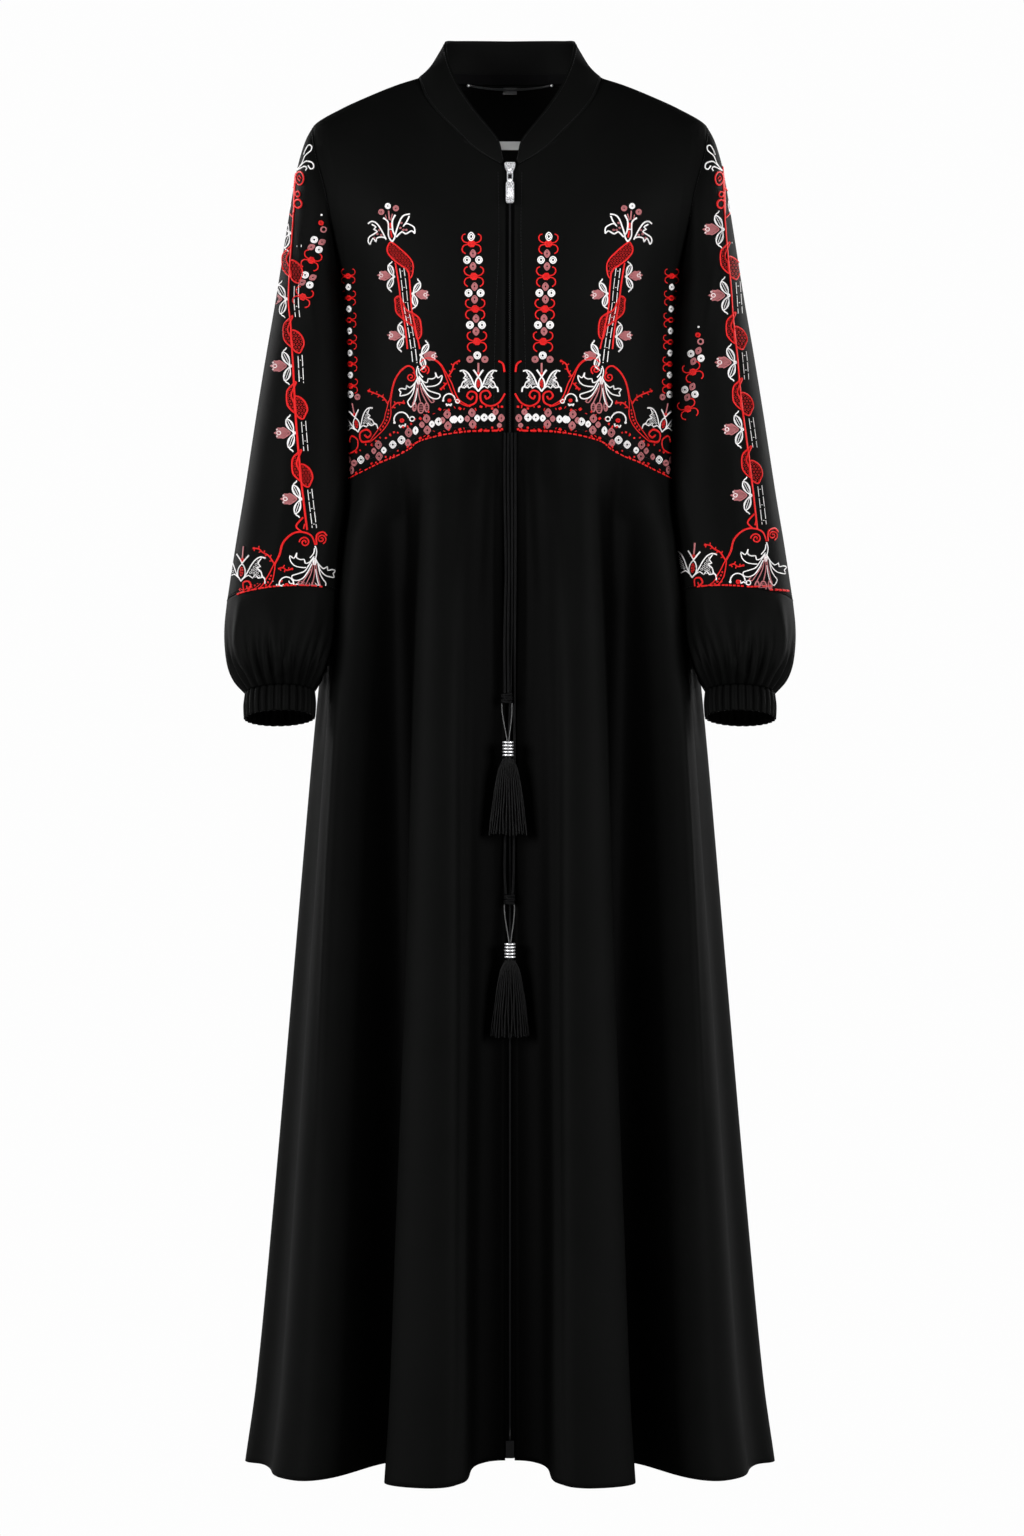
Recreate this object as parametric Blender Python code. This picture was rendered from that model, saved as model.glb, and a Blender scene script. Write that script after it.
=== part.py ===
"""Embroidered abaya, zipped down the front and filled out as if worn, with no wearer.

Lengths are in millimetres and MM turns them to metres when a mesh is made.
The front faces -Y. The origin is level with the neck points, where the shoulders hold it.
"""

from collections import namedtuple
from math import asin, atan2, cos, pi, radians, sin

import bmesh
import bpy
from mathutils import Matrix, Vector

MM = 0.001
WALL = 1.5
SEAM_GAP = 0.3
WELD = 0.001
FRONT_OPENING = 4.5

Section = namedtuple("Section", "drop half_width front back roundness")
BODY = [
    Section(-2, 91, 4, 57, 2.4),
    Section(5, 113, 11, 64, 2.4),
    Section(16, 140, 23, 73, 2.4),
    Section(30, 170, 36, 82, 2.4),
    Section(46, 196, 49, 91, 2.4),
    Section(70, 206, 68, 101, 2.4),
    Section(100, 204, 87, 108, 2.4),
    Section(130, 197, 101, 113, 2.4),
    Section(165, 184, 112, 115, 2.4),
    Section(207, 170, 120, 114, 2.4),
    Section(250, 166.5, 123, 109, 2.4),
    Section(300, 166.5, 122, 106, 2.4),
    Section(351, 166.5, 120, 106, 2.4),
    Section(408, 166.5, 121, 110, 2.4),
    Section(540, 181, 131, 122, 2.35),
    Section(660, 192.5, 141, 132, 2.3),
    Section(900, 212, 156, 148, 2.2),
    Section(1140, 232, 168, 163, 2.15),
    Section(1300, 247, 175, 172, 2.1),
    Section(1380, 258, 178, 176, 2.1),
]

Seam = namedtuple("Seam", "x drop")
YOKE_SEAM = [
    Seam(0, 360),
    Seam(56, 361.6),
    Seam(75, 364.5),
    Seam(90, 370),
    Seam(101, 377),
    Seam(121, 386),
    Seam(143, 394.5),
    Seam(159, 401.5),
    Seam(167, 408),
]

ArmholeRow = namedtuple("ArmholeRow", "drop x")
ARMHOLE = [
    ArmholeRow(46, 196),
    ArmholeRow(61, 195),
    ArmholeRow(83, 191),
    ArmholeRow(105, 185),
    ArmholeRow(125, 180.5),
    ArmholeRow(163, 175),
    ArmholeRow(207, 170),
]
ARMHOLE_STEPS = 8
ARMHOLE_EASE = 4
SIDE_STEPS = 5

CollarRow = namedtuple("CollarRow", "step seam_x seam_drop edge_x edge_y edge_z")
COLLAR = [
    CollarRow(0, 8.8, 95, 6.6, -84, -91),
    CollarRow(1, 26, 85, 9.8, -76, -73.5),
    CollarRow(2, 41, 73, 14.5, -70, -64),
    CollarRow(3, 55, 57.5, 23, -62, -52.5),
    CollarRow(4, 71, 39.5, 37, -48, -33),
    CollarRow(5, 84, 20, 51, -31, -9.5),
    CollarRow(6, 91, -2, 60.5, -12, 15),
    CollarRow(7, 86, -2, 65, 8, 36.5),
    CollarRow(8, 74, -2, 63.5, 22, 42.5),
    CollarRow(9, 57, -2, 54, 34, 44.5),
    CollarRow(10, 38, -2, 39, 43, 46),
    CollarRow(11, 19, -2, 20.5, 47, 46.5),
    CollarRow(12, 0, -2, 0, 48.5, 46.5),
]
NECK_STEPS = 6
SHOULDER_STEPS = 5
SHOULDER_EASE = 1.1
COLLAR_ROWS = 3
COLLAR_SWELL = 2

Fold = namedtuple("Fold", "column waist hem rise hem_drop roll")
FOLDS = [
    Fold(0, 0, 0, -32, 1358, 0.2),
    Fold(5, 0.108, 0.09, 26, 1377, 0.34),
    Fold(10, 0.235, 0.15, -62, 1366, 0.05),
    Fold(15, 0.346, 0.275, 16, 1380, 0.1),
    Fold(19, 0.43, 0.415, -8, 1378, 0.1),
    Fold(22, 0.5, 0.5, 6, 1380, 0.2),
    Fold(26, 0.57, 0.585, -42, 1371, 0.25),
    Fold(30, 0.66, 0.665, 20, 1380, 0.25),
    Fold(35, 0.77, 0.765, -52, 1370, 0.25),
    Fold(40, 0.885, 0.88, 22, 1380, 0.2),
    Fold(44, 1, 1, -24, 1372, 0),
]
FOLD_START = 0.5
FOLD_DRIFT = 0.8
SEAM_HOLD = 0.06
SIDE_COLUMN = 22
BACK_COLUMN = 44
SKIRT_ROWS = 10
ROW_EASE = 1.15

SleeveRing = namedtuple("SleeveRing", "outer_x outer_drop inner_x inner_drop depth forward tilt wave")
SLEEVE = [
    SleeveRing(196, 46, 170, 207, 51, 0, 0, 0),
    SleeveRing(205, 62, 170.4, 211, 55, 0, 0, 0),
    SleeveRing(213, 90, 169.8, 219, 58, 0, 0, 0),
    SleeveRing(219, 125, 166, 232, 59, 1, 1, 0),
    SleeveRing(226, 170, 158, 252, 60, 3, 2, 0),
    SleeveRing(234, 222, 153, 282, 60, 6, 3, 0),
    SleeveRing(243, 275, 151, 318, 60, 9, 5, 0),
    SleeveRing(251, 325, 150, 356, 59.5, 12, 6, 0),
    SleeveRing(258, 372, 151, 395, 59, 16, 8, 0),
    SleeveRing(265, 420, 154, 435, 59, 22, 9, 0),
    SleeveRing(272.5, 468, 160, 476, 59, 30, 10, 0),
    SleeveRing(280.5, 525, 166, 517, 59, 40, 11, 0),
]
PUFF = [
    SLEEVE[-1],
    SleeveRing(282.5, 548, 169, 540, 61.5, 46, 12, 0.4),
    SleeveRing(281.5, 568, 173, 562, 62, 52, 13, 1.2),
    SleeveRing(277, 588, 180, 583, 59, 59, 13, 2.4),
    SleeveRing(269, 603, 187, 599, 50, 65, 13, 3),
    SleeveRing(260, 615, 193, 613, 34, 70, 13, 1),
]
CUFF = [
    SleeveRing(260, 615, 193, 613, 34, 70, 13, 1.2),
    SleeveRing(261, 627, 192, 625, 35, 73.5, 13, 1.4),
    SleeveRing(260.5, 640, 192.5, 638, 34, 77, 13, 1.2),
]
Room = namedtuple("Room", "drop gap")
BESIDE_BODY = [
    Room(207, 0.4),
    Room(225, 1.2),
    Room(260, 1.3),
    Room(400, 1.8),
    Room(520, 4),
    Room(640, 6),
]
SLEEVE_COLUMNS = 2 * ARMHOLE_STEPS
PUFF_COLUMNS = 3 * SLEEVE_COLUMNS
GATHERS = PUFF_COLUMNS // 2
CUFF_RIBS = 28
CUFF_COLUMNS = 2 * CUFF_RIBS

ZIP_TOP = 95
ZIP_BOTTOM = 1339
ZIP_END = 1356
TAPE_WALL = 0.8
TAPE_HALF_WIDTH = 13
TAPE_SPARE = 0.25
CHAIN_HALF_WIDTH = 1.75
CHAIN_PROUD = 0.2
END_HALF_WIDTH = 4
END_PROUD = 0.4
END_WALL = 2.2

PlateRow = namedtuple("PlateRow", "down half_width")
SLIDER_PLATE = [
    PlateRow(-10.3, 4.6),
    PlateRow(-9.2, 5.4),
    PlateRow(-4.3, 4.6),
    PlateRow(0, 3),
    PlateRow(2.7, 2.4),
]
PULL_PLATE = [
    PlateRow(13.7, 2.4),
    PlateRow(14.9, 3.5),
    PlateRow(16.7, 4),
    PlateRow(36, 4),
    PlateRow(37.8, 3.5),
    PlateRow(38.7, 2.4),
]
SLIDER_CLEAR = 0.45
SLIDER_WALL = 2
PULL_WALL = 1.6
HINGE_DROP = 104
HINGE_SPAN = 8
HINGE_OFF = 1.2
LINK_WIRE = 0.6
LINK_HALF_WIDTH = 2.4
LINK_LENGTH = 12.4
LINK_CORNER = 1.2
EYE_BORE = 0.95
EYE_RADIUS = 1.95
EYE_SIDES = 16
SLIDER_EYE = 2.4
PULL_EYE = 3

NECK_TAPE_SPAN = (0.12, 0.8)
NECK_TAPE_WALL = 0.6
TRIM_CLEAR = 0.4
STRIP_CLEAR = 1.1
HANGER_HALF_SPAN = 42
HANGER_SAG = 4
HANGER_RADIUS = 1.1
HANGER_STEPS = 8
LABEL_HALF_WIDTH = 7
LABEL_TOP = -0.5
LABEL_BOTTOM = 6.5
LABEL_FRONT = 54.2
STRIP_HALF_WIDTH = 22
STRIP_TOP = 48
STRIP_BOTTOM = 56
LABEL_WALL = 0.5

CORD_RADIUS = 1.3
LOOP_RADIUS = 0.65
CLEAR = 0.3
Route = namedtuple("Route", "drop x off")
CORDS = {
    "drawcord_upper_a": [
        Route(361.6, -5.0, 1.7),
        Route(406, -5.3, 2.6),
        Route(450, -4.7, 2.2),
        Route(500, -4.0, 2.8),
        Route(529, -4.7, 3.4),
        Route(570, -5.4, 4.8),
        Route(600, -5.1, 6.2),
        Route(615.2, -4.9, 6.9),
    ],
    "drawcord_upper_b": [
        Route(361.6, -1.7, 1.7),
        Route(406, -1.9, 2.7),
        Route(450, -1.4, 2.2),
        Route(500, -0.9, 2.8),
        Route(529, -1.5, 3.4),
        Route(570, -2.0, 4.8),
        Route(600, -1.6, 6.2),
        Route(615.2, -1.5, 6.9),
    ],
    "drawcord_lower_a": [
        Route(361.6, 1.7, 1.9),
        Route(406, 1.9, 2.8),
        Route(450, 2.1, 2.2),
        Route(529, 1.7, 1.9),
        Route(600, 0.6, 1.8),
        Route(680, -1.6, 1.8),
        Route(750, -4.6, 1.9),
        Route(790, -5.2, 2.6),
        Route(810.6, -4.0, 4.2),
    ],
    "drawcord_lower_b": [
        Route(361.6, 5.1, 2),
        Route(406, 5.2, 2.7),
        Route(450, 5.4, 2.2),
        Route(529, 5.0, 1.9),
        Route(600, 4.4, 1.8),
        Route(680, 4.2, 1.8),
        Route(750, 3.9, 1.9),
        Route(790, 3.6, 2.6),
        Route(810.6, 2.6, 4.2),
    ],
}
CORD_STEP = 24

Tassel = namedtuple("Tassel", "knot_x knot_top x off knot_off")
TASSELS = {
    "upper": Tassel(-3.1, 615.5, -1.9, 13.6, 6.9),
    "lower": Tassel(-0.6, 810.9, 0, 12, 4.6),
}
KNOT_HEIGHT = 9.5
KNOT_RADIUS = 3.3
KNOT_STRETCH = 1.9
KNOT_WRAPS = 3
WRAP_GROOVE = 0.5
LOOP_LENGTH = 36.5
LOOP_SPREAD = 4.9
LOOP_CLOSE = 0.9
LOOP_STEPS = 3
RINGS = 5
RING_PITCH = 3.1
RING_RADIUS = 5.35
RING_GROOVE = 0.9
TURNED_SIDES = 10

TasselRow = namedtuple("TasselRow", "down across deep strand")
TASSEL_HEAD = [TasselRow(0, 4.2, 4.2, 0), TasselRow(3, 5.4, 5.4, 0), TasselRow(9, 6.6, 6.6, 0)]
TASSEL_FALL = [TasselRow(37, 13, 7.4, 1.8), TasselRow(77, 17, 7, 1.3)]
TASSEL_STRANDS = 16
TASSEL_ROUNDS = (3.9, 1.5)
INNER_SHARE = 0.55
STRAND_SPACE = 0.2
STRAND_DEPTH = 2 / 3
FACING_DOWN = -0.9
BUMP_EDGES = (0.3, 0.7)

FABRIC = (0.006, 0.006, 0.007, 1)
BLACK_CORD = (0.008, 0.008, 0.009, 1)
SILVER = (0.62, 0.62, 0.64, 1)
WHITE_TAPE = (0.78, 0.78, 0.76, 1)


def start_scene():
    """Clears the scene and makes the collection that holds the garment."""
    for found in list(bpy.data.objects):
        bpy.data.objects.remove(found)
    garment = bpy.data.collections.new("embroidered_abaya")
    bpy.context.scene.collection.children.link(garment)
    return garment


def finish_of(name, colour, roughness, metallic=0.0):
    material = bpy.data.materials.new(name)
    material.use_nodes = True
    shader = material.node_tree.nodes["Principled BSDF"]
    shader.inputs["Base Color"].default_value = colour
    shader.inputs["Roughness"].default_value = roughness
    shader.inputs["Metallic"].default_value = metallic
    return material


def add_piece(garment, name, shape, colour, roughness=0.6, metallic=0.0):
    """Turns a bmesh in millimetres into an object in metres."""
    bmesh.ops.scale(shape, vec=Vector((MM, MM, MM)), verts=shape.verts)
    mesh = bpy.data.meshes.new(name)
    shape.to_mesh(mesh)
    shape.free()
    mesh.shade_smooth()
    mesh.set_sharp_from_angle(angle=radians(40))
    mesh.materials.append(finish_of(name, colour, roughness, metallic))
    piece = bpy.data.objects.new(name, mesh)
    garment.objects.link(piece)
    return piece


def value_at(rows, column, place):
    """A column's value at a place, on a smooth curve through the rows, keyed by their first column."""
    keys = [row[0] for row in rows]
    values = [getattr(row, column) for row in rows]
    last = len(rows) - 1
    place = min(max(place, keys[0]), keys[last])
    low = max(k for k in range(last) if keys[k] <= place)

    def slope(k):
        before, after = max(k - 1, 0), min(k + 1, last)
        return (values[after] - values[before]) / (keys[after] - keys[before])

    span = keys[low + 1] - keys[low]
    t = (place - keys[low]) / span
    start, end = values[low], values[low + 1]
    return (
        start * (2 * t**3 - 3 * t**2 + 1)
        + slope(low) * span * (t**3 - 2 * t**2 + t)
        + end * (3 * t**2 - 2 * t**3)
        + slope(low + 1) * span * (t**3 - t**2)
    )


def blend(start, end, t):
    return start + (end - start) * t


def body_turn(x, drop):
    """The angle round the body, from the centre front, at which the section has this x."""
    half_width = value_at(BODY, "half_width", drop)
    roundness = value_at(BODY, "roundness", drop)
    return asin(min(1.0, (abs(x) / half_width) ** (roundness / 2)))


def body_point(turn, drop):
    """A point of the smooth body form: turn 0 is the centre front, pi the centre back."""
    power = 2 / value_at(BODY, "roundness", drop)
    depth = value_at(BODY, "front" if turn <= pi / 2 else "back", drop)
    toward_front = -1 if turn <= pi / 2 else 1
    x = value_at(BODY, "half_width", drop) * abs(sin(turn)) ** power
    y = toward_front * depth * abs(cos(turn)) ** power
    return Vector((x, y, -drop))


def body_facing(turn, drop):
    """The outward direction of the body form, from the gradient of its section."""
    step = 1.0
    side = "front" if turn <= pi / 2 else "back"
    roundness = value_at(BODY, "roundness", drop)
    half_width = value_at(BODY, "half_width", drop)
    depth = value_at(BODY, side, drop)
    wider = value_at(BODY, "half_width", drop + step) - value_at(BODY, "half_width", drop - step)
    deeper = value_at(BODY, side, drop + step) - value_at(BODY, side, drop - step)
    across = abs(sin(turn)) ** (2 / roundness)
    along = abs(cos(turn)) ** (2 / roundness)
    return Vector(
        (
            across ** (roundness - 1) / half_width,
            (-1 if turn <= pi / 2 else 1) * along ** (roundness - 1) / depth,
            (across**roundness * wider / half_width + along**roundness * deeper / depth) / (2 * step),
        )
    ).normalized()


def tube_facing(point):
    """Outward directions all round a tube of rings, from each point's neighbours."""
    columns = len(point[0]) - 1
    rows = len(point) - 1
    facing = []
    for r in range(rows + 1):
        line = []
        for c in range(columns + 1):
            right, left = point[r][(c + 1) % columns], point[r][(c - 1) % columns]
            below, above = point[min(r + 1, rows)][c], point[max(r - 1, 0)][c]
            line.append((right - left).cross(below - above).normalized())
        facing.append(line)
    return facing


def pulled(points, closed, pull):
    """Draws the seam edges back along the cloth, or by a given vector, to leave the seam's gap."""
    rows, columns = len(points) - 1, len(points[0]) - 1
    out = [[point.copy() for point in line] for line in points]
    half = SEAM_GAP / 2
    for c in range(columns + 1):
        if pull.get("top"):
            way = pull["top"]
            out[0][c] += way if isinstance(way, Vector) else (points[1][c] - points[0][c]).normalized() * half
        if pull.get("bottom"):
            out[rows][c] += (points[rows - 1][c] - points[rows][c]).normalized() * half
    for r in range(rows + 1):
        if closed:
            continue
        if pull.get("start"):
            out[r][0] += (points[r][1] - points[r][0]).normalized() * half
        if pull.get("end"):
            way = pull["end"]
            if callable(way) and way(r):
                out[r][columns] += way(r)
            else:
                out[r][columns] += (points[r][columns - 1] - points[r][columns]).normalized() * half
    return out


def cloth_wall(points, facing, closed=False, wall=WALL, inside=None, pull=None):
    """A closed wall of cloth: a grid on the outer points, extruded one wall inwards."""
    rows, columns = len(points) - 1, len(points[0]) - 1
    inner = inside or [
        [points[r][c] - facing[r][c] * wall for c in range(columns + 1)] for r in range(rows + 1)
    ]
    outer = pulled(points, closed, pull or {})
    inner = pulled(inner, closed, pull or {})
    shape = bmesh.new()
    place = shape.verts.layers.int.new("place")
    for corner in bmesh.ops.create_grid(shape, x_segments=columns, y_segments=rows, size=1)["verts"]:
        c = round((corner.co.x + 1) / 2 * columns)
        r = round((corner.co.y + 1) / 2 * rows)
        corner[place] = r * (columns + 1) + c
        corner.co = outer[r][c]
    if closed:
        bmesh.ops.remove_doubles(shape, verts=shape.verts, dist=WELD)
    grown = bmesh.ops.extrude_face_region(shape, geom=shape.faces[:])["geom"]
    for item in grown:
        if isinstance(item, bmesh.types.BMVert):
            r, c = divmod(item[place], columns + 1)
            item.co = inner[r][c]
    bmesh.ops.recalc_face_normals(shape, faces=shape.faces)
    return shape


def flipped(shape):
    """The same piece for the wearer's other side."""
    bmesh.ops.scale(shape, vec=Vector((-1, 1, 1)), verts=shape.verts)
    bmesh.ops.reverse_faces(shape, faces=shape.faces)
    return shape


def mirrored(points):
    return [[Vector((-p.x, p.y, p.z)) for p in line] for line in points]


def both_sides(points, facing):
    """The right half of a piece joined to its mirror image at the centre, as one grid."""
    left, left_facing = mirrored(points), mirrored(facing)
    whole = [left[r][:0:-1] + points[r] for r in range(len(points))]
    whole_facing = [left_facing[r][:0:-1] + facing[r] for r in range(len(points))]
    return whole, whole_facing


def fold_spot(column):
    """The fold rows either side of a skirt column, and how far it lies between them."""
    k = max(i for i in range(len(FOLDS) - 1) if FOLDS[i].column <= column)
    span = FOLDS[k + 1].column - FOLDS[k].column
    return FOLDS[k], FOLDS[k + 1], (column - FOLDS[k].column) / span


def yoke_point(column):
    """Turn and drop of the yoke seam at a skirt column."""
    before, after, t = fold_spot(column)
    turn = pi * blend(before.waist, after.waist, t)
    drop = YOKE_SEAM[0].drop
    for _ in YOKE_SEAM:
        drop = value_at(YOKE_SEAM, "drop", min(abs(body_point(turn, drop).x), YOKE_SEAM[-1].x))
    return turn, drop


def yoke_seam(column):
    """A point of the sewn yoke seam, straight between the bodice's own columns, and its facing."""
    low = min(int(column // 2) * 2, BACK_COLUMN - 2)
    t = (column - low) / 2
    start, end = yoke_point(low), yoke_point(low + 2)
    place = body_point(*start).lerp(body_point(*end), t)
    if low == 0:
        edge = body_point(body_turn(FRONT_OPENING, start[1]), start[1])
        place = edge.lerp(body_point(*end), t)
    facing = body_facing(*start).lerp(body_facing(*end), t)
    return place, facing.normalized()


def skirt_point(column, v):
    """A point of the skirt: column runs round from the centre front, v from yoke seam to hem."""
    before, after, t = fold_spot(column)
    ease = v**FOLD_DRIFT
    turn = pi * blend(blend(before.waist, before.hem, ease), blend(after.waist, after.hem, ease), t)
    swing = (1 - cos(pi * t)) / 2
    hem_drop = blend(before.hem_drop, after.hem_drop, swing)
    top, top_facing = yoke_seam(column)
    drop = blend(-top.z, hem_drop, v)
    spot = body_point(turn, drop)
    out = body_facing(turn, drop)
    out = Vector((out.x, out.y, 0)).normalized()
    sideways = Vector((-out.y, out.x, 0))
    grow = v**FOLD_START
    rise = blend(before.rise, after.rise, swing) * grow
    roll = before.roll * abs(after.rise - before.rise) * sin(2 * pi * t) * grow * ease
    spot += out * rise + sideways * roll
    if column == 0:
        spot.x = FRONT_OPENING
    near_seam = max(0.0, 1 - v / SEAM_HOLD)
    return spot.lerp(Vector((top.x, top.y, spot.z)), near_seam)


def skirt_grid(first, last):
    """Points and facings of the skirt between two columns, on the wearer's left."""
    points = []
    for r in range(SKIRT_ROWS + 1):
        v = (r / SKIRT_ROWS) ** ROW_EASE
        points.append([skirt_point(c, v) for c in range(first, last + 1)])
    return points


def skirt_facing(first, last):
    """The outward directions of the skirt's grid, from points a small step away on the cloth."""
    step = 0.02
    facing = []
    for r in range(SKIRT_ROWS + 1):
        v = (r / SKIRT_ROWS) ** ROW_EASE
        line = []
        for c in range(first, last + 1):
            if r == 0:
                line.append(yoke_seam(c)[1])
                continue
            across = skirt_point(min(c + step, BACK_COLUMN), v) - skirt_point(max(c - step, 0.001), v)
            down = skirt_point(max(c, 0.001), min(v + 0.002, 1)) - skirt_point(max(c, 0.001), v - 0.002)
            if c in (0, BACK_COLUMN):
                across = Vector((1 if c == 0 else -1, 0, 0))
            line.append(across.cross(down).normalized() * -1)
        facing.append(line)
    return facing


def armhole_point(step):
    """Turn and drop of the armhole, from the shoulder tip down to the underarm, on the front."""
    top, bottom = ARMHOLE[0].drop, ARMHOLE[-1].drop
    drop = (top + bottom) / 2 - (bottom - top) / 2 * cos(pi * step / ARMHOLE_STEPS)
    if step in (0, ARMHOLE_STEPS):
        return pi / 2, drop
    return body_turn(value_at(ARMHOLE, "x", drop), drop), drop


def neck_point(step, back):
    row = COLLAR[2 * NECK_STEPS - step if back else step]
    if step == NECK_STEPS:
        return pi / 2, row.seam_drop
    return body_turn(row.seam_x, row.seam_drop), row.seam_drop


def bodice_grid(back):
    """Turn and drop all over one half of the front or back bodice, filled in from its four edges."""
    columns, rows = NECK_STEPS + SHOULDER_STEPS, ARMHOLE_STEPS + SIDE_STEPS
    neck_drop = COLLAR[NECK_STEPS].seam_drop
    tops = [neck_point(step, back) for step in range(NECK_STEPS + 1)]
    for step in range(1, SHOULDER_STEPS + 1):
        tops.append((pi / 2, blend(neck_drop, ARMHOLE[0].drop, (step / SHOULDER_STEPS) ** SHOULDER_EASE)))
    bottoms = []
    for c in range(columns + 1):
        turn, drop = yoke_point(BACK_COLUMN - 2 * c if back else 2 * c)
        bottoms.append((pi - turn if back else turn, drop))
    ends = [armhole_point(step) for step in range(ARMHOLE_STEPS + 1)]
    for step in range(1, SIDE_STEPS + 1):
        ends.append((pi / 2, blend(ARMHOLE[-1].drop, bottoms[-1][1], step / SIDE_STEPS)))
    starts = []
    for r in range(rows + 1):
        drop = blend(tops[0][1], bottoms[0][1], r / rows)
        starts.append((0.0 if back else body_turn(FRONT_OPENING, drop), drop))
    starts[0] = tops[0]
    bottoms[0] = starts[-1]

    def share(line, c):
        return (line[c][0] - line[0][0]) / (line[-1][0] - line[0][0])

    grid = []
    for r in range(rows + 1):
        t = r / rows
        line = []
        for c in range(columns + 1):
            s = c / columns
            turn = blend(starts[r][0], ends[r][0], blend(share(tops, c), share(bottoms, c), t))
            sides = blend(starts[r][1], ends[r][1], s)
            top_to_bottom = blend(tops[c][1], bottoms[c][1], t)
            corners = blend(
                blend(tops[0][1], tops[-1][1], s), blend(bottoms[0][1], bottoms[-1][1], s), t
            )
            line.append((turn, sides + top_to_bottom - corners))
        grid.append(line)
    return grid


def collar_rows():
    """Seam point, edge point and seam facing for each collar step, on the wearer's left."""
    rows = []
    for row in COLLAR:
        back = row.step > NECK_STEPS
        turn, drop = neck_point(2 * NECK_STEPS - row.step if back else row.step, back)
        turn = pi - turn if back else turn
        rows.append((body_point(turn, drop), Vector((row.edge_x, row.edge_y, row.edge_z)), (turn, drop)))
    return rows


def collar_facing(k, rows):
    """The outward direction of the collar band itself at a step."""
    before, after = rows[max(k - 1, 0)][0], rows[min(k + 1, len(rows) - 1)][0]
    along = after - before
    if k == len(rows) - 1:
        along = Vector((-1, 0, 0))
    return (rows[k][1] - rows[k][0]).cross(along).normalized() * -1


def neck_facing(step, back):
    """The direction that bodice and collar share at their seam."""
    rows = collar_rows()
    k = 2 * NECK_STEPS - step if back else step
    return (collar_facing(k, rows) + body_facing(*rows[k][2])).normalized()


def armhole_facing(step, back):
    """The direction that bodice and sleeve share at their seam, away from the arm's middle."""
    swing = pi * step / ARMHOLE_STEPS
    return Vector((0, sin(swing) * (1 if back else -1), cos(swing)))


def bodice_pieces(back):
    """Points and facings of one half of the front or back bodice."""
    points, facing = [], []
    for r, line in enumerate(bodice_grid(back)):
        points.append([])
        facing.append([])
        for c, (turn, drop) in enumerate(line):
            turn = pi - turn if back else turn
            points[r].append(body_point(turn, drop))
            way = body_facing(turn, drop)
            if r == 0 and c <= NECK_STEPS:
                way = neck_facing(c, back)
            elif c == NECK_STEPS + SHOULDER_STEPS and r <= ARMHOLE_STEPS:
                way = armhole_facing(r, back)
            elif r == ARMHOLE_STEPS + SIDE_STEPS:
                way = yoke_seam(BACK_COLUMN - 2 * c if back else 2 * c)[1]
            facing[r].append(way)
    return points, facing


def armhole_pull(row):
    return Vector((-SEAM_GAP / 2, 0, 0)) if row <= ARMHOLE_STEPS else None


def make_bodice(garment):
    """Two embroidered fronts and a plain back, from neck and shoulders to the yoke seam."""
    points, facing = bodice_pieces(back=False)
    pull = {"top": True, "bottom": True, "end": armhole_pull}
    add_piece(garment, "bodice_front_left", cloth_wall(points, facing, pull=pull), FABRIC)
    right = flipped(cloth_wall(points, facing, pull=pull))
    add_piece(garment, "bodice_front_right", right, FABRIC)
    points, facing = both_sides(*bodice_pieces(back=True))
    add_piece(garment, "bodice_back", back_wall(points, facing), FABRIC)


def back_wall(points, facing):
    """The back is one piece, so both its ends are drawn back from armhole and side seam."""
    rows, columns = len(points) - 1, len(points[0]) - 1
    inner = [[points[r][c] - facing[r][c] * WALL for c in range(columns + 1)] for r in range(rows + 1)]
    for layer in (points, inner):
        drawn = pulled(layer, False, {"start": True, "end": armhole_pull})
        for r in range(rows + 1):
            layer[r][columns] = drawn[r][columns]
            layer[r][0] = Vector((-drawn[r][columns].x, drawn[r][columns].y, drawn[r][columns].z))
    return cloth_wall(points, facing, inside=inner, pull={"top": True, "bottom": True})


def make_skirt(garment):
    """Two front panels either side of the zip and one back panel, falling in deep folds."""
    points = skirt_grid(0, SIDE_COLUMN)
    facing = skirt_facing(0, SIDE_COLUMN)
    pull = {"top": True, "end": True}
    add_piece(garment, "skirt_front_left", cloth_wall(points, facing, pull=pull), FABRIC)
    right = flipped(cloth_wall(points, facing, pull=pull))
    add_piece(garment, "skirt_front_right", right, FABRIC)
    points = [line[::-1] for line in skirt_grid(SIDE_COLUMN, BACK_COLUMN)]
    facing = [line[::-1] for line in skirt_facing(SIDE_COLUMN, BACK_COLUMN)]
    for line in points:
        line[0].x = 0
    points, facing = both_sides(points, facing)
    pull = {"top": True, "start": True, "end": True}
    add_piece(garment, "skirt_back", cloth_wall(points, facing, pull=pull), FABRIC)


def collar_point(seam, edge, own, t, k):
    """A point of the collar band, which swells a little between seam and edge."""
    return seam.lerp(edge, t) + own * COLLAR_SWELL * sin(pi * t) * min(1, k / COLLAR_ROWS)


def make_collar(garment):
    """A stand band from the neck seam, tapering to the top of the zip at each front end."""
    rows = collar_rows()
    points = [[] for _ in range(COLLAR_ROWS + 1)]
    facing = [[] for _ in range(COLLAR_ROWS + 1)]
    for k, (seam, edge, _) in enumerate(rows):
        own = collar_facing(k, rows)
        step = k if k <= NECK_STEPS else 2 * NECK_STEPS - k
        shared = neck_facing(step, k > NECK_STEPS)
        for r in range(COLLAR_ROWS + 1):
            t = r / COLLAR_ROWS
            points[r].append(collar_point(seam, edge, own, t, k))
            facing[r].append(shared if r == 0 else own)
    points = [line[::-1] for line in points]
    facing = [line[::-1] for line in facing]
    points, facing = both_sides(points, facing)
    add_piece(garment, "collar", cloth_wall(points, facing, pull={"top": True}), FABRIC)


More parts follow.
